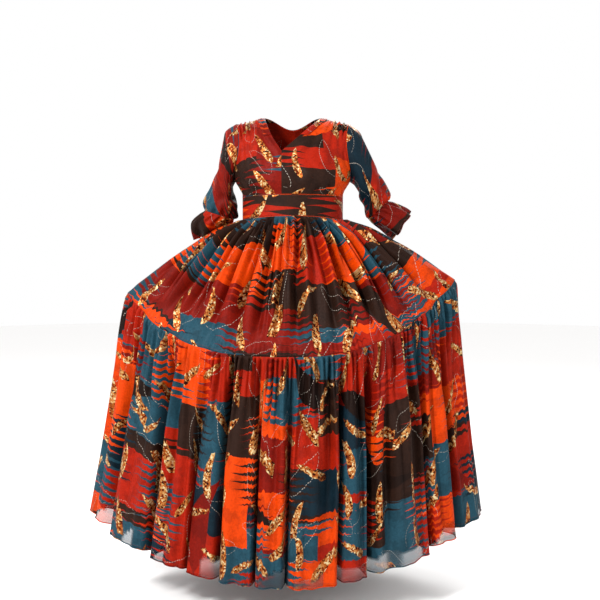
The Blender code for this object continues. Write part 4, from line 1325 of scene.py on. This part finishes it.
class DRESS_OT_trim(bpy.types.Operator):
    """Makes the rolled hems, the ridges of the seams and the stitches"""
    bl_idname = "dress.trim"
    bl_label = "Hems, seams and stitches"

    def execute(self, context):
        hem = settings().hem_roll / 2
        for node, u_range in (("skirt_lower_front", FRONT_HALF), ("skirt_lower_back", BACK_HALF)):
            path, outward = edge_of(lower_tier, u_range, SKIRT_LOWER_CELLS[0] + 1, 1)
            across, down = PRINT_AT[node]
            cloth_tube(node + "_hem", path, outward, hem, (across, down + HEM_DOWN_PRINT))
        for name, side in SIDES.items():
            node = "sleeve_flounce_" + name
            path, outward = edge_of(flounce(name), (0, 1), FLOUNCE_CELLS[0] + 1, 1)
            cloth_tube(node + "_hem", path[:-1], outward[:-1], hem * CUFF_HEM_SHARE,
                       PRINT_AT[node], closed=True)
            path = armhole(side, np.linspace(0, math.tau, ARMHOLE_POINTS)[:-1])
            outward = unit(path * [1, 1, 0.2])
            cloth_tube("armhole_seam_" + name, path, outward, SEAM_RADIUS,
                       PRINT_AT["sleeve_" + name][::-1], closed=True)
        for name, v in (("band_top_seam", 0), ("waist_seam", 1)):
            path, outward = edge_of(midriff, ALL_ROUND, WAIST_POINTS, v)
            cloth_tube(name, path[:-1], outward[:-1], SEAM_RADIUS,
                       PRINT_AT["midriff_band_front"][::-1], closed=True)
        stitches = stitch_rows("stitches", self.stitched_rows())
        stitches.data.materials.append(sewing_thread())
        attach(stitches, BODY_NAME)
        return {"FINISHED"}

    def stitched_rows(self):
        """The paths that the stitches follow, from rows of a surface, its stretch of u, the points in the
        path and its place down v, and then along the neckbands."""
        rows = [edge_of(surface, u_range, count, v) for surface, u_range, count, v in (
            (midriff, ALL_ROUND, 500, 0.05),
            (midriff, ALL_ROUND, 500, 0.95),
            (upper_tier, ALL_ROUND, 1400, 0.985),
            (lower_tier, ALL_ROUND, 2400, 0.987),
            (flounce("left"), (0, 1), 400, 0.92),
            (flounce("right"), (0, 1), 400, 0.92),
        )]
        for side in SIDES.values():
            down = np.linspace(*NECKBAND_STITCHES_DOWN)
            across = np.full_like(down, NECKBAND_STITCHES_ACROSS)
            strip = front_strip(side)
            rows.append((strip(across, down), slopes(strip, across, down)[2] * side))
        rows.append(edge_of(back_strip, (-1, 1), 120, NECKBAND_STITCHES_ACROSS))
        return rows


class DRESS_OT_stage(bpy.types.Operator):
    """Makes the floor, the lights and the camera"""
    bl_idname = "dress.stage"
    bl_label = "Stage"

    def execute(self, context):
        angle = np.linspace(0, math.tau, FLOOR_SIDES + 1)[:-1]
        rim = [FLOOR_RADIUS * np.cos(angle), FLOOR_RADIUS * np.sin(angle), 0 * angle + FLOOR_Z]
        rim = np.stack(rim, axis=-1)
        mesh = bpy.data.meshes.new("floor")
        mesh.from_pydata(rim.tolist(), [], [tuple(range(len(rim)))])
        floor = bpy.data.objects.new("floor", mesh)
        context.collection.objects.link(floor)
        mesh.materials.append(floor_finish())
        for name, place, size, power in LIGHTS:
            light = bpy.data.lights.new(name, "AREA")
            light.shape = "DISK"
            light.size = size
            light.energy = power
            lamp = bpy.data.objects.new(name, light)
            lamp.location = place
            away = Vector(place) - Vector(LIT_POINT)
            lamp.rotation_euler = away.to_track_quat("Z", "Y").to_euler()
            context.collection.objects.link(lamp)
        world = bpy.data.worlds.new("studio")
        world.use_nodes = True
        world.node_tree.nodes["Background"].inputs[0].default_value = settings().sky
        world.node_tree.nodes["Background"].inputs[1].default_value = SKY_STRENGTH
        context.scene.world = world
        context.scene.view_settings.view_transform = "Standard"
        context.scene.view_settings.look = "None"
        lens = bpy.data.cameras.new("camera")
        lens.sensor_width = SENSOR
        lens.lens = LENS
        camera = bpy.data.objects.new("camera", lens)
        camera.location = CAMERA_AT
        camera.rotation_euler = CAMERA_TURN
        context.collection.objects.link(camera)
        context.scene.camera = camera
        return {"FINISHED"}


class DRESS_PT_panel(bpy.types.Panel):
    """The dress's steps in the sidebar"""
    bl_idname = "DRESS_PT_panel"
    bl_label = "Habesha kemis dress"
    bl_space_type = "VIEW_3D"
    bl_region_type = "UI"
    bl_category = "Dress"

    def draw(self, context):
        for name in DressSettings.__annotations__:
            self.layout.prop(settings(), name)
        for step in STEPS:
            self.layout.operator(step.bl_idname)


STEPS = (DRESS_OT_bodice, DRESS_OT_neckbands, DRESS_OT_midriff, DRESS_OT_sleeves, DRESS_OT_skirt,
         DRESS_OT_trim, DRESS_OT_stage)


def register():
    """Adds the settings, the steps and the panel to Blender."""
    for one in (DressSettings, *STEPS, DRESS_PT_panel):
        bpy.utils.register_class(one)
    bpy.types.Scene.dress_settings = bpy.props.PointerProperty(type=DressSettings)


def unregister():
    """Takes them out again."""
    del bpy.types.Scene.dress_settings
    for one in reversed((DressSettings, *STEPS, DRESS_PT_panel)):
        bpy.utils.unregister_class(one)


def main():
    """Takes every step in turn."""
    register()
    for step in STEPS:
        getattr(bpy.ops.dress, step.bl_idname.split(".")[1])()


if __name__ == "__main__":
    main()
